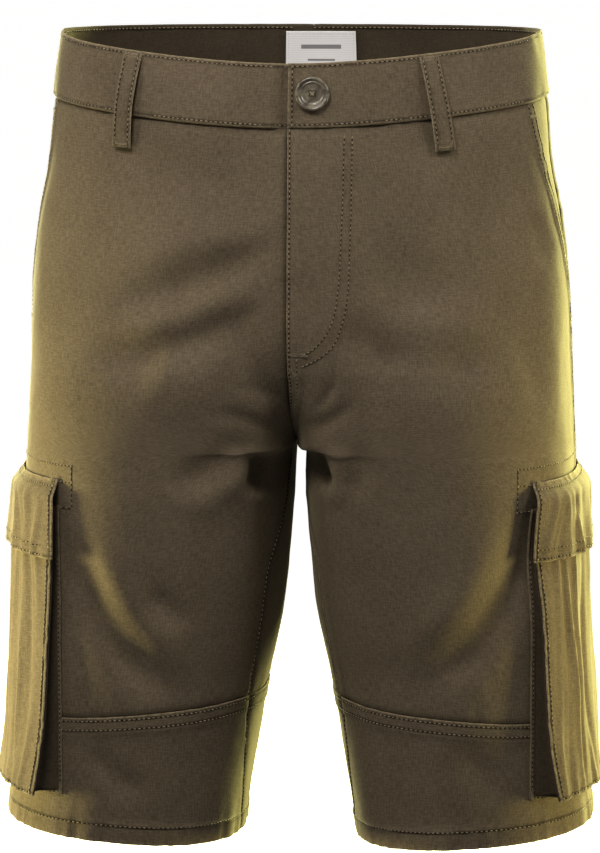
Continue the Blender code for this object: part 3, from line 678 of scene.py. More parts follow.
pocketNames = ("level", "side", "edge", "shift")
pocketRows = np.array([
    (-0.300, 0.0058, 0.0062, 0.0005),
    (-0.335, 0.0064, 0.0078, 0.0010),
    (-0.375, 0.0068, 0.0105, 0.0015),
    (-0.415, 0.0078, 0.0130, 0.0025),
    (-0.450, 0.0078, 0.0155, 0.0040),
    (-0.490, 0.0072, 0.0185, 0.0085),
])
pocket = {
    "line": {"left": 0.153, "right": 0.147},
    "top": -0.300,
    "bottom": -0.490,
    "flapTop": -0.283,
    "flapBottom": -0.333,
    "flapOverhang": 0.0035,
    "wall": 0.0011,
    "bellows": 0.0090,        # how far the gusset's middle folds in
    "flange": 0.0028,         # the gusset's edge sewn flat on the leg
    "flangeRow": 0.0013,
    # how high the flange stands off the leg, at shares of its width
    "flangeRise": ((0.0, 0.0003), (0.0, 0.0011), (0.04, 0.0014), (0.12, 0.0016), (0.30, 0.0015),
                   (0.46, 0.0011), (0.62, 0.0014), (0.85, 0.0012)),
    "flangeShade": (0.3, 0.0, 0.0, 0.0, 0.3, 0.95, 0.3, 0.5),
    "flangeWearAndHighlight": (0.3, 0.6, 0.6, 0.3, 0.0, 0.0, 0.0, 0.0),
    "gussetShade": 0.80,
    "bodyCreases": 0.0024,
    "flapCreases": 0.0022,
    "row": 0.0021,
    "patchTop": -0.2736,
    "patchMiddle": -0.2845,
    "patchBottom": -0.3012,
}


def pocketAngle(name, level, share, shift):
    front = angleAt(level, pocket["line"][name] + shift, -1)
    rear = angleAt(level, pocket["line"][name] + shift, 1)
    return np.abs(share) * np.where(share > 0, front, rear)


def pocketOut(level, share):
    middle = between(pocketRows, pocketNames, "side", level)
    edge = between(pocketRows, pocketNames, "edge", level)
    return middle + (edge - middle) * np.abs(share) ** 3


foldNames = ("place", "width", "strength", "slant")
pocketFolds = (
    (-0.92, 0.030, -0.8, -0.04), (-0.83, 0.035, 1.0, -0.08), (-0.73, 0.030, -0.7, 0.06),
    (-0.62, 0.060, 1.0, 0.22), (-0.51, 0.035, -0.7, -0.10), (-0.40, 0.060, -0.8, 0.10),
    (-0.18, 0.070, 0.7, -0.12), (0.05, 0.050, -0.6, 0.20), (0.27, 0.080, 0.9, 0.15),
    (0.44, 0.050, -0.9, 0.12), (0.55, 0.030, 0.8, -0.12), (0.64, 0.030, -0.8, 0.10),
    (0.72, 0.028, 1.0, -0.06), (0.80, 0.026, -0.9, 0.07), (0.885, 0.024, 0.9, 0.05),
)


def pocketCreases(level, share, seed, height):
    # long soft upright ridges and troughs, nearer together towards the front and back edges
    total = 0.0
    down = (pocket["top"] - level) / (pocket["top"] - pocket["bottom"])
    for row in pocketFolds:
        f = dict(zip(foldNames, row))
        centre = f["place"] + f["slant"] * (down - 0.5) + 0.035 * np.sin(5 * down + seed + 9 * f["place"])
        swell = 0.3 + 0.7 * np.sin(3.4 * down + seed + 11 * f["place"]) ** 2
        total = total + height * f["strength"] * swell * np.exp(-((share - centre) / f["width"]) ** 2)
    return total


def offsetSkin(side, level, angle, out):
    points, normal = plainPoint(side, level, angle), normalAt(side, level, angle)
    return points + normal * (relief(points) + out)[..., None]


def ownWall(face, wall, lips):
    # an even wall under a grid of points, with rounded edges, from the grid's own normals
    around = np.gradient(face, axis=1)
    down = np.gradient(face, axis=0)
    normal = np.cross(down, around)
    normal = normal / np.linalg.norm(normal, axis=-1, keepdims=True)
    outward = face.mean(axis=(0, 1)) * np.array([1.0, 1.0, 0.0])
    if (normal * outward).sum() < 0:
        normal = -normal
    middle = face - normal * wall / 2
    half = (wall / 2 * lips)[..., None]
    return middle + normal * half, middle - normal * half


def edgeShares(count, width, steps):
    # shares from -1 to 1 with the fine steps beside both edges
    near = 1 - np.array(steps) / width
    middle = np.linspace(-near[-1], near[-1], count)[1:-1]
    return np.concatenate([-near, middle, near[::-1]])


pocketSteps = (0.0, 0.0002, 0.0005, 0.0009, 0.0014, 0.0021, 0.0028, 0.0042, 0.0065)
pocketHalf = 0.085
for name, side in sides.items():
    seed = 1.3 if side > 0 else 4.1
    shares = edgeShares(110, pocketHalf, pocketSteps)
    levels = levelsFor(pocket["top"], pocket["bottom"], (0.0, 0.0006, 0.0013, 0.0022), pocketSteps)
    levelGrid, shareGrid = np.meshgrid(levels, shares, indexing="ij")
    shift = between(pocketRows, pocketNames, "shift", levelGrid)
    angles = pocketAngle(name, levelGrid, shareGrid, shift)
    folds = pocketCreases(levelGrid, shareGrid, seed, pocket["bodyCreases"])
    folds = folds * smoothStep((1 - np.abs(shareGrid)) / 0.07)
    plain = offsetSkin(side, levelGrid, angles, pocketOut(levelGrid, shareGrid))
    distances = arcDistances(plain)
    edges = {edge: ("fold", (pocket["row"],), 0.0085) for edge in ("start", "end", "bottom")}
    seams, lips, holesAndShade, wearAndHighlight = seamRelief(distances, edges, pocket["wall"])
    ripples = puckers(distances, {"start": (0.009, 0.0005, 0.014, seed),
                                  "end": (0.009, 0.0005, 0.013, seed + 1),
                                  "bottom": (0.012, 0.0006, 0.012, seed + 2)})
    out = pocketOut(levelGrid, shareGrid) + folds + seams * 0.6 + ripples
    sheet = offsetSkin(side, levelGrid, angles, out)
    face, back = ownWall(sheet, pocket["wall"], lips)
    # pocket edges lightened more: rubbed wear and a painted highlight
    clothPiece("cargo_body_" + name, face, back, canvas, ["cargo_body_" + name],
               wearAndHighlight * 1.3, holesAndShade)

    # the gusset runs from the leg to the body's edges on three sides and folds in between them
    around = np.linspace(0, 1, 23)
    route = [(level, 1.0) for level in np.linspace(pocket["top"], pocket["bottom"], 64)[:-1]]
    route += [(pocket["bottom"], share) for share in np.linspace(1.0, -1.0, 70)]
    route += [(level, -1.0) for level in np.linspace(pocket["bottom"], pocket["top"], 64)[1:]]
    route = np.array(route)
    level, share = route[:, :1], route[:, 1:]
    shift = between(pocketRows, pocketNames, "shift", level)
    flange, up = pocket["flange"], pocket["flange"] * (level == pocket["bottom"])
    flat = np.stack([offsetSkin(side, level + up * run,
                                pocketAngle(name, level + up * run, share, flange * run),
                                rise + 0 * level)[:, 0] for run, rise in pocket["flangeRise"]], axis=1)
    legAngle = pocketAngle(name, level + up, share, flange + 0 * level)
    legPoint = offsetSkin(side, level + up, legAngle, 0.0010 + 0 * level)
    bodyPoint = offsetSkin(side, level, pocketAngle(name, level, share, shift),
                           pocketOut(level, share) - 0.0014 - 0.0006)
    deeper = np.clip((pocket["top"] - level) / (pocket["top"] - pocket["bottom"]), 0, 1)
    fold = pocket["bellows"] * np.sin(math.pi * around[None]) ** 1.2 * (0.25 + 0.75 * deeper)
    inward = offsetSkin(side, level + 0.012 * (np.abs(share) < 1),
                        pocketAngle(name, level, share * 0.86, shift),
                        pocketOut(level, share) * 0.5) - (legPoint + bodyPoint) / 2
    inward = inward / np.linalg.norm(inward, axis=-1, keepdims=True)
    rows = legPoint * (1 - around[None, :, None]) + bodyPoint * around[None, :, None]
    sheet = np.concatenate([flat, rows + inward * fold[..., None]], axis=1)
    tangent = np.gradient(sheet, axis=1)
    runs = np.gradient(sheet, axis=0)
    normal = np.cross(runs, tangent)
    normal = normal / np.linalg.norm(normal, axis=-1, keepdims=True)
    if (normal * inward).sum() > 0:
        normal = -normal
    # painted shade where it folds in and beside the flange, needle holes with painted shade along the
    # flange's row, and a lighter edge on the leg: rubbed wear and a painted highlight
    none = 0 * sheet[..., 0]
    holesAndShade = np.concatenate([pocket["flangeShade"], pocket["gussetShade"] + 0 * around])[None] + none
    wearAndHighlight = np.concatenate([pocket["flangeWearAndHighlight"], 0 * around])[None] + none
    clothPiece("cargo_gusset_" + name, sheet, sheet - normal * 0.0010, canvas,
               ["cargo_gusset_" + name], wearAndHighlight, holesAndShade)

    # the flap, sewn down along its top and free on the other three sides
    levels = levelsFor(pocket["flapTop"], pocket["flapBottom"], pocketSteps, pocketSteps)
    levelGrid, shareGrid = np.meshgrid(levels, shares, indexing="ij")
    drop = pocket["flapTop"] - levelGrid
    rise = smoothStep(drop / 0.012)
    angles = pocketAngle(name, levelGrid, shareGrid, -0.6 * pocket["flapOverhang"] * rise)
    bodyOut = pocketOut(np.minimum(levelGrid, pocket["top"]), shareGrid)
    folds = pocketCreases(levelGrid * 2.5 + 0.43, shareGrid, seed + 2.2, pocket["flapCreases"])
    folds = folds * smoothStep((1 - np.abs(shareGrid)) / 0.07) * smoothStep((drop - 0.006) / 0.01)
    out = 0.0017 + (bodyOut + 0.0014) * rise
    plain = offsetSkin(side, levelGrid, angles, out)
    distances = arcDistances(plain)
    edges = {edge: ("fold", (pocket["row"],), 0.0085) for edge in ("start", "end")}
    edges["bottom"] = ("fold", (pocket["row"], 0.0078), 0.0095)
    edges["top"] = ("fold", (0.0042,), 0.006)
    seams, lips, holesAndShade, wearAndHighlight = seamRelief(distances, edges, pocket["wall"])
    ripples = puckers(distances, {"top": (0.010, 0.0005, 0.012, seed),
                                  "bottom": (0.012, 0.0006, 0.013, seed + 3)})
    sheet = offsetSkin(side, levelGrid, angles, out + folds + seams * 0.6 + ripples)
    face, back = ownWall(sheet, pocket["wall"], lips)
    # flap edges lightened more: rubbed wear and a painted highlight
    clothPiece("cargo_flap_" + name, face, back, canvas, ["cargo_flap_" + name], wearAndHighlight * 1.3, holesAndShade)
print("cargo pockets made")


loop = {
    "width": 0.0115,
    "wall": 0.0016,
    "top": -0.0015,
    "bottom": -0.0625,
    "bulge": 0.0030,
    "radius": 0.125,          # of the waistband, to turn widths into degrees
    "places": {"belt_loop_front_left": (1, 46.0, -2.5), "belt_loop_front_right": (-1, 41.5, -1.0),
               "belt_loop_back_left": (1, -39.0, 0.0), "belt_loop_back_right": (-1, -39.0, 0.0),
               "belt_loop_centre": (1, -90.0, 0.0)},
}


def loopOut(level):
    share = np.clip((loop["top"] - level) / (loop["top"] - loop["bottom"]), 0, 1)
    return 0.0008 + seamGap + 0.0018 + loop["bulge"] * np.sin(math.pi * share) ** 0.8


def loopTurn(turn, slant, level):
    return turn + slant * ((loop["top"] - level) / (loop["top"] - loop["bottom"]) - 0.5)


loopHalf = math.degrees(loop["width"] / 2 / loop["radius"])
for name, (side, turn, slant) in loop["places"].items():
    across = np.array([-1, -0.96, -0.9, -0.8, -0.7, -0.6, -0.35, 0, 0.35, 0.6, 0.7, 0.8, 0.9, 0.96, 1])
    levels = levelsFor(loop["top"], loop["bottom"], (0.0, 0.0003, 0.0007, 0.0012, 0.002),
                       (0.0, 0.0003, 0.0007, 0.0012, 0.002, 0.0035, 0.0055, 0.0062, 0.007))
    levelGrid, acrossGrid = np.meshgrid(levels, across, indexing="ij")
    # the strip is a little askew and narrower where it is pulled
    waist = 1 - 0.05 * np.sin(math.pi * (levelGrid - loop["top"]) / (loop["bottom"] - loop["top"]))
    angles = loopTurn(turn, slant, levelGrid) + acrossGrid * loopHalf * waist
    fold = smoothStep((-0.0555 - levelGrid) / 0.001)
    out = loopOut(levelGrid) - 0.00025 * np.exp(-((np.abs(acrossGrid) - 0.7) / 0.09) ** 2)
    out = out + 0.0003 * fold + 0.00035 * (1 - acrossGrid ** 2)
    plain = offsetSkin(side, levelGrid, angles, out)
    distances = arcDistances(plain)
    near = np.minimum.reduce([distances[edge] for edge in ("start", "end", "top", "bottom")])
    lips = np.sqrt(1 - np.clip(1 - near / 0.0008, 0, 1) ** 2)
    face, back = ownWall(plain, loop["wall"], lips)
    # dark needle holes and painted shade along the two stitched rows, and edges lightened: rubbed wear and a
    # painted highlight
    holesAndShade = 0.8 * np.exp(-((np.abs(acrossGrid) - 0.7) / 0.10) ** 2)
    clothPiece(name, face, back, canvas, [name], np.exp(-near / 0.0008), holesAndShade)
print("belt loops made")


button = {
    "x": 0.0155,
    "level": -0.0195,
    "hole": 0.00095,
    "holeStep": 0.0019,
    "turns": 72,
    "profile": ((0.0, 0.0021), (0.0036, 0.0021), (0.0060, 0.0023), (0.0066, 0.0026), (0.0070, 0.0031),
                (0.0074, 0.0032), (0.0078, 0.0029), (0.0082, 0.0030), (0.0088, 0.0037),
                (0.0095, 0.0040), (0.0102, 0.0038), (0.0107, 0.0031), (0.0110, 0.0022),
                (0.0108, 0.0011), (0.0101, 0.0004), (0.0090, 0.0), (0.0, 0.0)),
}


def hornMaterial():
    # cast polyester made like horn: dark, clouded, polished on the rim
    material, tree, shader = newMaterial("polishedHornResin", {
        "Roughness": 0.27, "IOR": 1.54, "Coat Weight": 0.35, "Coat Roughness": 0.12})
    place = addNode(tree, "ShaderNodeTexCoord").outputs["Object"]
    cloud = addNode(tree, "ShaderNodeTexNoise", {"Scale": 170.0, "Detail": 5.0, "Distortion": 1.2},
                    {"Vector": place}).outputs["Fac"]
    ramp = addNode(tree, "ShaderNodeValToRGB", None, {"Fac": cloud})
    ramp.color_ramp.elements[0].position, ramp.color_ramp.elements[1].position = 0.32, 0.70
    ramp.color_ramp.elements[0].color = linear("#39332b")
    ramp.color_ramp.elements[1].color = linear("#7d7565")
    tree.links.new(ramp.outputs["Color"], shader.inputs["Base Color"])
    bump = addNode(tree, "ShaderNodeBump", {"Strength": 0.25, "Distance": 0.0001}, {"Height": cloud})
    tree.links.new(bump.outputs["Normal"], shader.inputs["Normal"])
    return material


def satinMaterial():
    # woven white satin with fine ribs across
    material, tree, shader = newMaterial("wovenSatin", {
        "Roughness": 0.42, "Sheen Weight": 0.2, "Sheen Roughness": 0.4, "Anisotropic": 0.3})
    uv = addNode(tree, "ShaderNodeUVMap", {"uv_map": "cut"}).outputs["UV"]
    ribs = addNode(tree, "ShaderNodeTexWave", {"wave_type": "BANDS", "bands_direction": "Y",
                                               "Scale": 260.0, "Distortion": 0.4}, {"Vector": uv})
    tone = addNode(tree, "ShaderNodeMix", {"data_type": "RGBA", "A": linear("#e4e4ea"),
                                           "B": linear("#f6f6fa")}, {"Factor": ribs.outputs["Fac"]})
    # two plain woven bars in grey, where a label says its size and cloth
    spot = addNode(tree, "ShaderNodeSeparateXYZ", None, {"Vector": uv})
    inked = None
    for down, tall, wide in ((-0.0105, 0.0014, 0.0135), (-0.0195, 0.0007, 0.0092)):
        tallMask = addNode(tree, "ShaderNodeMath", {"operation": "COMPARE", 1: down, 2: tall},
                           {0: spot.outputs["Y"]})
        wideMask = addNode(tree, "ShaderNodeMath", {"operation": "COMPARE", 1: 0.0, 2: wide},
                           {0: spot.outputs["X"]})
        bar = addNode(tree, "ShaderNodeMath", {"operation": "MULTIPLY"},
                      {0: tallMask.outputs["Value"], 1: wideMask.outputs["Value"]}).outputs["Value"]
        inked = bar if inked is None else addNode(tree, "ShaderNodeMath", {"operation": "ADD"},
                                                  {0: inked, 1: bar}).outputs["Value"]
    inked = addNode(tree, "ShaderNodeMath", {"operation": "MULTIPLY", 1: 0.75}, {0: inked}).outputs["Value"]
    woven = addNode(tree, "ShaderNodeMix", {"data_type": "RGBA", "B": linear("#3a3b42")},
                    {"Factor": inked, "A": tone.outputs["Result"]})
    tree.links.new(woven.outputs["Result"], shader.inputs["Base Color"])
    bump = addNode(tree, "ShaderNodeBump", {"Strength": 0.4, "Distance": 0.00006},
                   {"Height": ribs.outputs["Fac"]})
    tree.links.new(bump.outputs["Normal"], shader.inputs["Normal"])
    return material


def buttonPlace():
    turn = angleAt(button["level"], button["x"])
    low = skin(1, button["level"], turn, band["out"] + seamGap * 2)
    high = skin(1, button["level"], turn, 0.0108)
    spin = Vector(high - low).to_track_quat("Z", "Y")
    return Vector(low), spin


def turned(profile, count):
    bm = bmesh.new()
    ring = [bm.verts.new((radius, 0.0, height)) for radius, height in profile]
    edges = [bm.edges.new(pair) for pair in zip(ring, ring[1:])]
    bmesh.ops.spin(bm, geom=ring + edges, cent=(0, 0, 0), axis=(0, 0, 1), angle=2 * math.pi,
                   steps=count, use_merge=True)
    bmesh.ops.remove_doubles(bm, verts=bm.verts, dist=0.00002)
    bmesh.ops.recalc_face_normals(bm, faces=bm.faces)
    mesh = bpy.data.meshes.new("turned")
    bm.to_mesh(mesh)
    bm.free()
    return mesh


def buildButton():
    # a denser profile, rounded between its points
    points = np.array(button["profile"])
    run = np.concatenate([[0], np.hypot(*np.diff(points, axis=0).T).cumsum()])
    dense = np.linspace(0, run[-1], 90)
    profile = [(max(np.interp(s, run, points[:, 0]), 0.0), np.interp(s, run, points[:, 1])) for s in dense]
    smooth = [profile[0]] + [tuple((np.array(a) + 2 * np.array(b) + np.array(c)) / 4)
                             for a, b, c in zip(profile, profile[1:], profile[2:])] + [profile[-1]]
    mesh = turned(smooth, button["turns"])
    obj = bpy.data.objects.new("horn_button", mesh)
    bpy.context.scene.collection.objects.link(obj)
    cutters = []
    for number in range(4):
        turn = math.radians(45 + 90 * number)
        cutMesh = turned(((0.0, -0.003), (button["hole"], -0.003), (button["hole"], 0.0019),
                          (button["hole"] * 1.35, 0.0023), (button["hole"] * 1.35, 0.006), (0.0, 0.006)), 20)
        cutter = bpy.data.objects.new("hole", cutMesh)
        cutter.location = (button["holeStep"] * math.cos(turn), button["holeStep"] * math.sin(turn), 0)
        bpy.context.scene.collection.objects.link(cutter)
        cut = obj.modifiers.new("hole", "BOOLEAN")
        cut.operation, cut.object, cut.solver = "DIFFERENCE", cutter, "EXACT"
        cutters.append(cutter)
    finished = bpy.data.meshes.new_from_object(obj.evaluated_get(bpy.context.evaluated_depsgraph_get()))
    bpy.data.objects.remove(obj)
    for cutter in cutters:
        bpy.data.objects.remove(cutter)
    low, spin = buttonPlace()
    finished.transform(spin.to_matrix().to_4x4())
    finished.transform(Matrix.Translation(low))
    finished.materials.clear()
    finished.materials.append(hornMaterial())
    finished.shade_smooth()
    finished.set_sharp_from_angle(angle=math.radians(50))
    obj = bpy.data.objects.new("horn_button", finished)
    bpy.context.scene.collection.objects.link(obj)
    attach(obj, "root")
    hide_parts("button")


buildButton()

label = {
    "turn": -87.5,
    "width": 0.046,
    "top": -0.0045,
    "bottom": -0.0365,
    "wall": 0.0005,
    "border": 0.0016,
    "radius": 0.1075,
    "behind": 0.00335,        # from the band's outer side to the label's face
}
labelLevels = levelsFor(label["top"], label["bottom"], (0.0, 0.0004, 0.001), (0.0, 0.0004, 0.001))
labelHalf = math.degrees(label["width"] / 2 / label["radius"])


def labelOut(level, angle):
    waves = 0.00012 * np.sin(angle * 1.3 + 2) * np.sin(level * 190)
    return band["out"] - label["behind"] + waves


bodyPanel("size_label", 1, labelLevels, label["turn"] - labelHalf + 0 * labelLevels,
          label["turn"] + labelHalf + 0 * labelLevels, {}, labelOut, None, label["wall"],
          satinMaterial(), ["size_label"])
print("button and label made")


stitches = {
    "pitch": 0.0031,
    "length": 0.0021,
    "thick": 0.00082,
    "shadowLine": 0.00026,        # radius of the dark tube painted as the shadow of the furrow that the needle pulls in
}
rows = {"waistband_stitching": [], "body_stitching": [], "pocket_stitching": [],
        "bartacks": [], "label_stitching": []}


def stitchTree(shadowTubed):
    # stitches along every edge path of the object: joined ovals lying along the row
    tree = bpy.data.node_groups.new("stitchRow", "GeometryNodeTree")
    tree.interface.new_socket("Geometry", in_out="INPUT", socket_type="NodeSocketGeometry")
    sockets = {}
    for title, default in (("Pitch", 0.0029), ("Length", 0.0022), ("Thick", 0.0005), ("ShadowRadius", 0.0003)):
        socket = tree.interface.new_socket(title, in_out="INPUT", socket_type="NodeSocketFloat")
        socket.default_value = default
        sockets[title] = socket.identifier
    for title in ("Thread", "Shadow"):
        socket = tree.interface.new_socket(title, in_out="INPUT", socket_type="NodeSocketMaterial")
        sockets[title] = socket.identifier
    tree.interface.new_socket("Geometry", in_out="OUTPUT", socket_type="NodeSocketGeometry")
    start = addNode(tree, "NodeGroupInput")
    curve = addNode(tree, "GeometryNodeMeshToCurve", None, {"Mesh": start.outputs["Geometry"]})
    points = addNode(tree, "GeometryNodeCurveToPoints", {"mode": "LENGTH"},
                     {"Curve": curve.outputs["Curve"], "Length": start.outputs["Pitch"]})
    oval = addNode(tree, "GeometryNodeMeshUVSphere", {"Segments": 6, "Rings": 4, "Radius": 0.5})
    size = addNode(tree, "ShaderNodeCombineXYZ", None,
                   {"X": start.outputs["Thick"], "Y": start.outputs["Thick"], "Z": start.outputs["Length"]})
    tilt = addNode(tree, "FunctionNodeRandomValue", {"data_type": "FLOAT"})
    tilt.inputs["Seed"].default_value = 7
    tilt.inputs[2].default_value, tilt.inputs[3].default_value = 0.88, 1.12
    vary = addNode(tree, "ShaderNodeVectorMath", {"operation": "SCALE"},
                   {"Vector": size.outputs["Vector"], "Scale": tilt.outputs[1]})
    turn = addNode(tree, "FunctionNodeAlignRotationToVector", {"axis": "Z"},
                   {"Vector": points.outputs["Tangent"]})
    placed = addNode(tree, "GeometryNodeInstanceOnPoints", None,
                     {"Points": points.outputs["Points"], "Instance": oval.outputs["Mesh"],
                      "Rotation": turn.outputs["Rotation"], "Scale": vary.outputs["Vector"]})
    real = addNode(tree, "GeometryNodeRealizeInstances", None, {"Geometry": placed.outputs["Instances"]})
    finish = addNode(tree, "GeometryNodeSetMaterial", None,
                     {"Geometry": real.outputs["Geometry"], "Material": start.outputs["Thread"]})
    end = addNode(tree, "NodeGroupOutput")
    # a thin dark tube along each row: painted shadow of its sunk channel
    if shadowTubed:
        circle = addNode(tree, "GeometryNodeCurvePrimitiveCircle", {"Resolution": 4},
                         {"Radius": start.outputs["ShadowRadius"]})
        tube = addNode(tree, "GeometryNodeCurveToMesh", {"Fill Caps": True},
                       {"Curve": curve.outputs["Curve"], "Profile Curve": circle.outputs["Curve"]})
        dark = addNode(tree, "GeometryNodeSetMaterial", None,
                       {"Geometry": tube.outputs["Mesh"], "Material": start.outputs["Shadow"]})
        both = addNode(tree, "GeometryNodeJoinGeometry")
        tree.links.new(finish.outputs["Geometry"], both.inputs["Geometry"])
        tree.links.new(dark.outputs["Geometry"], both.inputs["Geometry"])
        tree.links.new(both.outputs["Geometry"], end.inputs["Geometry"])
    else:
        tree.links.new(finish.outputs["Geometry"], end.inputs["Geometry"])
    return tree, sockets


stitchGroups = {shadowTubed: stitchTree(shadowTubed) for shadowTubed in (True, False)}
# the dark tube's material: painted shadow in the stitched row
paintedRowShadow = newMaterial("paintedFurrowShadow", {"Base Color": linear("#1c160e"), "Roughness": 0.95,
                                          "Specular IOR Level": 0.1})[0]  # shaded cloth in the row


def sewRows(name, paths, material, pitch, length, thick, shadowLine=0.0):
    stitchGroup, stitchSockets = stitchGroups[shadowLine > 0]
    verts, edges = [], []
    for path in paths:
        first = len(verts)
        verts += [tuple(point) for point in path]
        edges += [(i, i + 1) for i in range(first, len(verts) - 1)]
    mesh = bpy.data.meshes.new(name + "_paths")
    mesh.from_pydata(verts, edges, [])
    guide = bpy.data.objects.new(name + "_paths", mesh)
    bpy.context.scene.collection.objects.link(guide)
    sewn = guide.modifiers.new("stitches", "NODES")
    sewn.node_group = stitchGroup
    for key, value in (("Pitch", pitch), ("Length", length), ("Thick", thick), ("Thread", material),
                       ("ShadowRadius", shadowLine), ("Shadow", paintedRowShadow)):
        sewn[stitchSockets[key]] = value
    depsgraph = bpy.context.evaluated_depsgraph_get()
    result = bpy.data.meshes.new_from_object(guide.evaluated_get(depsgraph))
    bpy.data.objects.remove(guide)
    result.shade_smooth()
    obj = bpy.data.objects.new(name, result)
    bpy.context.scene.collection.objects.link(obj)
    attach(obj, "root")
    print("  ", name, len(result.polygons), "faces")
    return obj


def rowAlong(side, levels, angles, out):
    levels, angles = np.broadcast_arrays(np.asarray(levels, float), np.asarray(angles, float))
    return skin(side, levels, angles, out)


def besideEdge(side, levels, edgeAngles, distance, out):
    # a row at a distance, in metres, to the front side of an edge of changing angle
    turn = distance / arcRate(side, levels, edgeAngles)
    return rowAlong(side, levels, edgeAngles + turn, out)


surface = 0.0002
fold = cloth["lift"]

# waistband: along both edges, down the lapped end, and inside along the top
for side in (1, -1):
    top, bottom = band["top"] - band["row"], band["bottom"] + band["row"]
    last = float(angleAt(top, 0.0030)) if side > 0 else 89.0
    angles = np.linspace(-89.6, last, 420)
    for level in (top, bottom):
        lifted = bandOut(level, angles) + fold - 0.0001
        if side < 0:
            lifted = bandDive(level, angles) + fold - 0.0001
        rows["waistband_stitching"].append(rowAlong(side, level, angles, lifted))
        inner = bandOut(level, angles) - band["wall"] + 0.0001
        keep = np.abs(angles) < 82 if side < 0 else np.abs(angles) < 90
        rows["waistband_stitching"].append(rowAlong(side, level, angles[keep], inner[keep]))
levels = np.linspace(band["top"] - band["row"], band["bottom"] + band["row"], 40)
lapAngles = angleAt(levels, 0.0029)
rows["waistband_stitching"].append(rowAlong(1, levels, lapAngles, bandOut(levels, lapAngles) + fold))

# fronts and backs
levels = np.linspace(body["bandBottom"] - 0.002, body["mouthBottom"] + 0.004, 120)
for name, side in sides.items():
    opening = mouthAngle(name, levels) + gapAngle(levels)
    for distance in (stitchRow, secondRow):
        rows["body_stitching"].append(besideEdge(side, levels, opening, distance, fold - 0.0001))
    low = np.linspace(body["mouthBottom"] - 0.001, pocket["flapTop"] + 0.006, 60)
    for distance in (stitchRow, secondRow):
        rows["body_stitching"].append(besideEdge(side, low, 0 * low, distance, fold - 0.0001))
    # leg seam: two rows below the raised edge, and the hem's row
    for offset, lifted in ((0.0025, fold), (0.0088, fold)):
        for ends in (innerEdge(np.array([body["legSeam"] - offset]), -1)[0],
                     innerEdge(np.array([body["legSeam"] - offset]), 1)[0]):
            angles = np.linspace(0.3 * np.sign(ends), ends - 1.0 * np.sign(ends), 260)
            rows["body_stitching"].append(rowAlong(side, body["legSeam"] - offset, angles, lifted))
    for ends in (innerEdge(np.array([body["hem"] + hemRow]), -1)[0],
                 innerEdge(np.array([body["hem"] + hemRow]), 1)[0]):
        angles = np.linspace(0.3 * np.sign(ends), ends - 0.6 * np.sign(ends), 260)
        rows["body_stitching"].append(rowAlong(side, body["hem"] + hemRow, angles, fold))
    # inseam, on the front's side of the seam
    for span in ((-0.278, body["legSeam"] + 0.002), (body["legSeam"] - 0.0115, body["hem"] + 0.002)):
        leg = np.linspace(*span, 90)
        rows["body_stitching"].append(besideEdge(side, leg, innerEdge(leg, -1), -0.0018, surface))

# fly: the edge of the left front, its curved double row, and the fork
levels = np.linspace(body["bandBottom"] - 0.0015, -0.258, 130)
edge = innerEdge(levels, -1)
raised = flyLift(1)(levels, edge)
rows["body_stitching"].append(besideEdge(1, levels, edge, -fork["row"], raised + fold - 0.0001))
levels = np.linspace(-0.202, -0.258, 40)
edge = innerEdge(levels, -1)
raised = flyLift(1)(levels, edge)
rows["body_stitching"].append(besideEdge(1, levels, edge, -fork["second"], raised + fold - 0.0001))


def frontPath(points, out, side=1, count=120):
    # a row through points given as x and height on the front, on a smooth curve
    points = np.array(points)
    run = np.concatenate([[0], np.hypot(*np.diff(points, axis=0).T).cumsum()])
    dense = np.linspace(0, run[-1], count)
    x, z = np.interp(dense, run, points[:, 0]), np.interp(dense, run, points[:, 1])
    soft = np.ones(9) / 9
    padX = np.concatenate([[x[0]] * 4, x, [x[-1]] * 4])
    padZ = np.concatenate([[z[0]] * 4, z, [z[-1]] * 4])
    x, z = np.convolve(padX, soft, "valid"), np.convolve(padZ, soft, "valid")
    level = z.copy()
    for _ in range(4):
        turn = angleAt(level, x)
        level = level + (z - plainPoint(side, level, turn)[..., 2])
    return rowAlong(side, level, angleAt(level, x), out)


fly = {
    "inner": ((0.0355, -0.0625), (0.0348, -0.105), (0.0330, -0.152), (0.0308, -0.172),
              (0.0274, -0.183), (0.0215, -0.192), (0.0149, -0.198), (0.0100, -0.2000)),
    "outer": ((0.0405, -0.0625), (0.0400, -0.112), (0.0386, -0.161), (0.0370, -0.173),
              (0.0349, -0.1805), (0.0311, -0.192), (0.0240, -0.200), (0.0149, -0.205),
              (0.0085, -0.2080), (0.0031, -0.2095)),
}
for path in (fly["inner"], fly["outer"]):
    rows["body_stitching"].append(frontPath(path, 0.0010))

# the middle back seam and the yokeless seat: a double row on the left back
levels = np.linspace(body["bandBottom"] - 0.0015, -0.258, 130)
for distance in (stitchRow, secondRow):
    rows["body_stitching"].append(besideEdge(1, levels, innerEdge(levels, 1), distance, fold - 0.0001))

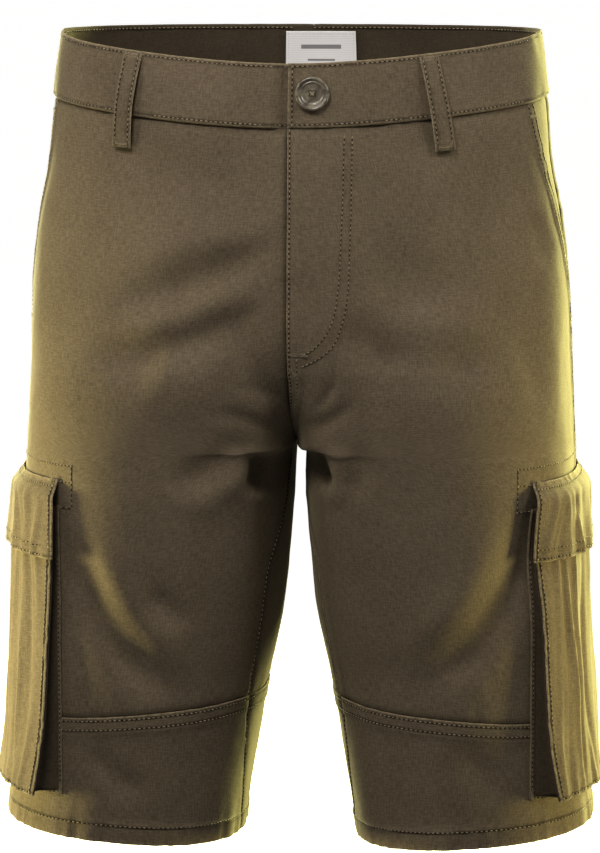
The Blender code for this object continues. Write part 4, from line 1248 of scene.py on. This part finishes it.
# cargo pockets
for name, side in sides.items():
    seed = 1.3 if side > 0 else 4.1

    def bodyRow(level, share, out=0.0006, name=name, side=side, seed=seed):
        level, share = np.broadcast_arrays(np.asarray(level, float), np.asarray(share, float))
        shift = between(pocketRows, pocketNames, "shift", level)
        folds = pocketCreases(level, share, seed, pocket["bodyCreases"])
        folds = folds * smoothStep((1 - np.abs(share)) / 0.07)
        return offsetSkin(side, level, pocketAngle(name, level, share, shift),
                          pocketOut(level, share) + folds + out)

    def flapRow(level, share, out=0.0005, name=name, side=side, seed=seed):
        level, share = np.broadcast_arrays(np.asarray(level, float), np.asarray(share, float))
        drop = pocket["flapTop"] - level
        rise = smoothStep(drop / 0.012)
        folds = pocketCreases(level * 2.5 + 0.43, share, seed + 2.2, pocket["flapCreases"])
        folds = folds * smoothStep((1 - np.abs(share)) / 0.07) * smoothStep((drop - 0.006) / 0.01)
        lifted = 0.0017 + (pocketOut(np.minimum(level, pocket["top"]), share) + 0.0014) * rise
        turn = pocketAngle(name, level, share, -0.6 * pocket["flapOverhang"] * rise)
        return offsetSkin(side, level, turn, lifted + folds + out)

    edgeShare = 1 - pocket["row"] / pocketHalf
    upright = np.linspace(pocket["flapBottom"] + 0.002, pocket["bottom"] + pocket["row"], 100)
    along = np.linspace(-edgeShare, edgeShare, 100)
    for share in (edgeShare, -edgeShare):
        rows["pocket_stitching"].append(bodyRow(upright, share))
        flapSide = np.linspace(pocket["flapTop"] - 0.004, pocket["flapBottom"] + 0.002, 40)
        rows["pocket_stitching"].append(flapRow(flapSide, share))
    rows["pocket_stitching"].append(bodyRow(pocket["bottom"] + pocket["row"], along))
    rows["pocket_stitching"].append(flapRow(pocket["flapTop"] - 0.0042, along))
    for height in (pocket["row"], 0.0078):
        rows["pocket_stitching"].append(flapRow(pocket["flapBottom"] + height, along))
    # where the gusset is sewn to the leg, and the stitched square of reinforcement over it
    inset = pocket["flangeRow"]
    upright = np.linspace(-0.3345, pocket["bottom"] + inset, 90)
    for share in (1.0, -1.0):
        turn = pocketAngle(name, upright, share, inset)
        rows["pocket_stitching"].append(offsetSkin(side, upright, turn, 0.0012 + 0 * upright))
    level = pocket["bottom"] + inset + 0 * along
    turn = pocketAngle(name, level, along / edgeShare, inset)
    rows["pocket_stitching"].append(offsetSkin(side, level, turn, 0.0012 + 0 * level))
    corner = -0.0085
    topEdge = [(pocket["patchTop"], share) for share in np.linspace(-1, 1, 110)]
    level = np.array([spot[0] for spot in topEdge])
    share = np.array([spot[1] for spot in topEdge])
    rows["pocket_stitching"].append(offsetSkin(side, level, pocketAngle(name, level, share, corner),
                                               surface + 0 * level))
    for share in (1.0, -1.0):
        level = np.linspace(pocket["patchTop"], pocket["patchBottom"], 24)
        rows["pocket_stitching"].append(offsetSkin(side, level, pocketAngle(name, level, share, corner),
                                                   surface + 0 * level))
        for height in (pocket["patchMiddle"], pocket["patchBottom"]):
            shifts = np.linspace(corner, -0.001, 12)
            level = height + 0 * shifts
            turn = angleAt(level, pocket["line"][name] + shifts, -1 if share > 0 else 1)
            rows["pocket_stitching"].append(offsetSkin(side, level, turn, surface + 0 * level))


def zigzag(centre, run, across, count):
    # a bartack: threads to and fro over a short line
    share = np.linspace(-0.5, 0.5, count)[:, None]
    flip = np.where(np.arange(count) % 2, 0.5, -0.5)[:, None]
    return centre + run * share + across * flip


def bartack(side, level, turn, out, lengthways, height, upright=False):
    centre = skin(side, np.array([level]), np.array([turn]), out)[0]
    beside = skin(side, np.array([level]), np.array([turn + 1.0]), out)[0] - centre
    beside = beside / np.linalg.norm(beside)
    below = skin(side, np.array([level - 0.002]), np.array([turn]), out)[0] - centre
    below = below / np.linalg.norm(below)
    run, across = (below, beside) if upright else (beside, below)
    count = int(lengthways / 0.00055)
    rows["bartacks"].append(zigzag(centre, run * lengthways, across * height, count))


for name, (side, turn, slant) in loop["places"].items():
    for level in (-0.0590, -0.0035):
        bartack(side, level, loopTurn(turn, slant, level), loopOut(level) + 0.0004, 0.0088, 0.0024)
    edgeTurn = loopHalf * 0.7
    for offset in (-edgeTurn, edgeTurn):
        levels = np.linspace(-0.005, -0.0565, 60)
        path = offsetSkin(side, levels, loopTurn(turn, slant, levels) + offset, loopOut(levels) + 0.00015)
        rows["waistband_stitching"].append(path)
for name, side in sides.items():
    for level in (-0.050, body["mouthBottom"] + 0.003):
        turn = float(mouthAngle(name, level)) + 2.2
        bartack(side, level, turn, 0.0010, 0.0075, 0.0020)
    for share in (1.0, -1.0):
        level = pocket["flapTop"] - 0.002
        turn = float(pocketAngle(name, np.array([level]), np.array([share * 0.97]), 0.0)[0])
        bartack(side, level, turn, 0.0030, 0.0060, 0.0022, True)
        turn = float(pocketAngle(name, np.array([pocket["bottom"]]), np.array([share]), 0.0015)[0])
        bartack(side, pocket["bottom"] + 0.004, turn, 0.0016, 0.0050, 0.0020, True)
bartack(1, -0.1985, float(angleAt(np.array([-0.1985]), np.array([0.0075]))[0]), 0.0018, 0.0110, 0.0022)
bartack(1, -0.2105, float(angleAt(np.array([-0.2105]), np.array([0.0040]))[0]), 0.0016, 0.0060, 0.0020, True)

# the keyhole buttonhole: threads across its edge all the way round
keyhole = {"start": 0.0262, "end": 0.0402, "half": 0.0013, "reach": 0.0011}
turnStart = float(angleAt(button["level"], keyhole["start"]))
turnEnd = float(angleAt(button["level"], keyhole["end"]))
hole = skin(1, np.array([button["level"]] * 2), np.array([turnStart, turnEnd]), band["out"] + 0.0008)
run = hole[1] - hole[0]
runLength = np.linalg.norm(run)
run = run / runLength
upward = skin(1, np.array([button["level"] + 0.002]), np.array([turnStart]),
              band["out"] + 0.0008)[0] - hole[0]
upward = upward / np.linalg.norm(upward)
outline = []
count = 150
for i in range(count):
    share = i / count * (2 * runLength + 2 * math.pi * keyhole["half"])
    reach = keyhole["half"] + keyhole["reach"] * (0.0 if i % 2 else 1.0)
    if share < runLength:
        spot = hole[0] + run * share + upward * reach
    elif share < runLength + math.pi * keyhole["half"]:
        bend = (share - runLength) / keyhole["half"]
        spot = hole[1] + (run * math.sin(bend) + upward * math.cos(bend)) * reach
    elif share < 2 * runLength + math.pi * keyhole["half"]:
        back = share - runLength - math.pi * keyhole["half"]
        spot = hole[1] - run * back - upward * reach
    else:
        bend = (share - 2 * runLength - math.pi * keyhole["half"]) / keyhole["half"]
        spot = hole[0] - (run * math.sin(bend) + upward * math.cos(bend)) * reach
    outline.append(spot)
rows["bartacks"].append(np.array(outline))

# the button's own threads, in a cross through its holes
low, spin = buttonPlace()
for turn in (45, 135):
    reach = button["holeStep"] * 1.15
    for shift in (-0.00022, 0.0, 0.00022):
        share = np.linspace(-1, 1, 9)
        line = [Vector((reach * s * math.cos(math.radians(turn)) - shift * math.sin(math.radians(turn)),
                        reach * s * math.sin(math.radians(turn)) + shift * math.cos(math.radians(turn)),
                        0.0023 + 0.0003 * (1 - s * s) - (0.0012 if abs(s) == 1 else 0))) for s in share]
        rows["bartacks"].append(np.array([spin @ point + low for point in line]))

# label: a line of stitches just inside its border
labelLift = band["out"] - label["behind"] - label["wall"]
border = label["border"]
half = labelHalf - math.degrees(border / label["radius"])
topLevel, bottomLevel = label["top"] - border, label["bottom"] + border
for level in (topLevel, bottomLevel):
    across = np.linspace(label["turn"] - half, label["turn"] + half, 30)
    rows["label_stitching"].append(rowAlong(1, level, across, labelLift))
for turn in (label["turn"] - half, label["turn"] + half):
    rows["label_stitching"].append(rowAlong(1, np.linspace(topLevel, bottomLevel, 20), turn, labelLift))

sizes = {"bartacks": (0.0011, 0.0021, 0.00042), "label_stitching": (0.0024, 0.0018, 0.0003)}
whiteThread = newMaterial("whiteLabelThread", {"Base Color": linear("#cfcfd4"), "Roughness": 0.6})[0]
for name, paths in rows.items():
    pitch, length, thick = sizes.get(name, (stitches["pitch"], stitches["length"], stitches["thick"]))
    sewRows(name, paths, whiteThread if name.startswith("label") else thread, pitch, length, thick,
            0.0 if name in sizes else stitches["shadowLine"])
print("stitching made")


stage = {
    "away": 2.7,              # camera from the middle of the garment
    "turn": 4.5,
    "high": 0.085,
    "lookDown": 7.28,
    "lens": 175.0,
    "floor": -0.75,
}
turn = math.radians(stage["turn"])
camera = bpy.data.cameras.new("camera")
camera.lens, camera.sensor_width, camera.sensor_height = stage["lens"], 36.0, 36.0
camera.sensor_fit = "VERTICAL"
cameraObject = bpy.data.objects.new("camera", camera)
cameraObject.location = (stage["away"] * math.sin(turn), -stage["away"] * math.cos(turn), stage["high"])
aside = 0.0009
cameraObject.rotation_euler = (math.radians(90 - stage["lookDown"]), 0.0,
                               turn + math.atan2(aside, stage["away"]))
bpy.context.scene.collection.objects.link(cameraObject)
bpy.context.scene.camera = cameraObject


def softLight(name, location, target, width, height, power, colour, spread=180.0):
    lamp = bpy.data.lights.new(name, "AREA")
    lamp.shape, lamp.size, lamp.size_y = "RECTANGLE", width, height
    lamp.energy, lamp.color = power, linear(colour)[:3]
    lamp.spread = math.radians(spread)
    obj = bpy.data.objects.new(name, lamp)
    obj.location = location
    obj.rotation_euler = (Vector(target) - Vector(location)).to_track_quat("-Z", "Y").to_euler()
    obj.visible_camera = False
    bpy.context.scene.collection.objects.link(obj)


middle = (0.0, 0.0, -0.26)
softLight("key", (-0.33, -1.12, 1.12), (0.0, 0.0, -0.10), 0.55, 0.45, 17.5, "#fff8ee")
softLight("leftFill", (-1.10, -0.45, 0.70), (-0.12, 0.0, 0.03), 0.40, 0.40, 0.48, "#fff8ee", 40.0)
softLight("rightFill", (1.10, -0.45, 0.70), (0.12, 0.0, 0.03), 0.40, 0.40, 0.55, "#fff8ee", 40.0)
softLight("leftRim", (-0.80, 1.60, -0.05), middle, 0.45, 1.2, 72.0, "#fffdb8")
softLight("rightRim", (0.90, 1.50, -0.05), middle, 0.45, 1.2, 112.0, "#fffda0")
softLight("leftPocket", (-1.10, 0.04, -0.46), (-0.19, 0.0, -0.40), 0.30, 0.30, 1.75, "#fff2a8", 36.0)
softLight("rightPocket", (1.10, 0.04, -0.46), (0.19, 0.0, -0.40), 0.30, 0.30, 0.85, "#fff09c", 36.0)

world = bpy.data.worlds.new("studio")
bpy.context.scene.world = world
world.use_nodes = True
tree = world.node_tree
tree.nodes.clear()
seen = addNode(tree, "ShaderNodeLightPath")
white = addNode(tree, "ShaderNodeBackground", {"Color": (1, 1, 1, 1), "Strength": 1.0})
dim = addNode(tree, "ShaderNodeBackground", {"Color": (1.0, 0.98, 0.95, 1), "Strength": 0.15})
mix = addNode(tree, "ShaderNodeMixShader")
tree.links.new(seen.outputs["Is Camera Ray"], mix.inputs[0])
tree.links.new(dim.outputs[0], mix.inputs[1])
tree.links.new(white.outputs[0], mix.inputs[2])
addNode(tree, "ShaderNodeOutputWorld", None, {"Surface": mix.outputs[0]})

bpy.ops.mesh.primitive_plane_add(size=60, location=(0, 0, stage["floor"]))
floor = bpy.context.object
floor.name = "studio_floor"
paper, tree, shader = newMaterial("whitePaper", {"Base Color": linear("#fdfdfd"), "Roughness": 0.9,
                                                 "Emission Color": (1, 1, 1, 1), "Emission Strength": 0.85})
floor.data.materials.append(paper)
floor.visible_diffuse = False     # its glow stays off the cloth
floor.visible_glossy = False
bpy.context.scene.view_settings.view_transform = "Standard"
bpy.context.scene.view_settings.look = "None"
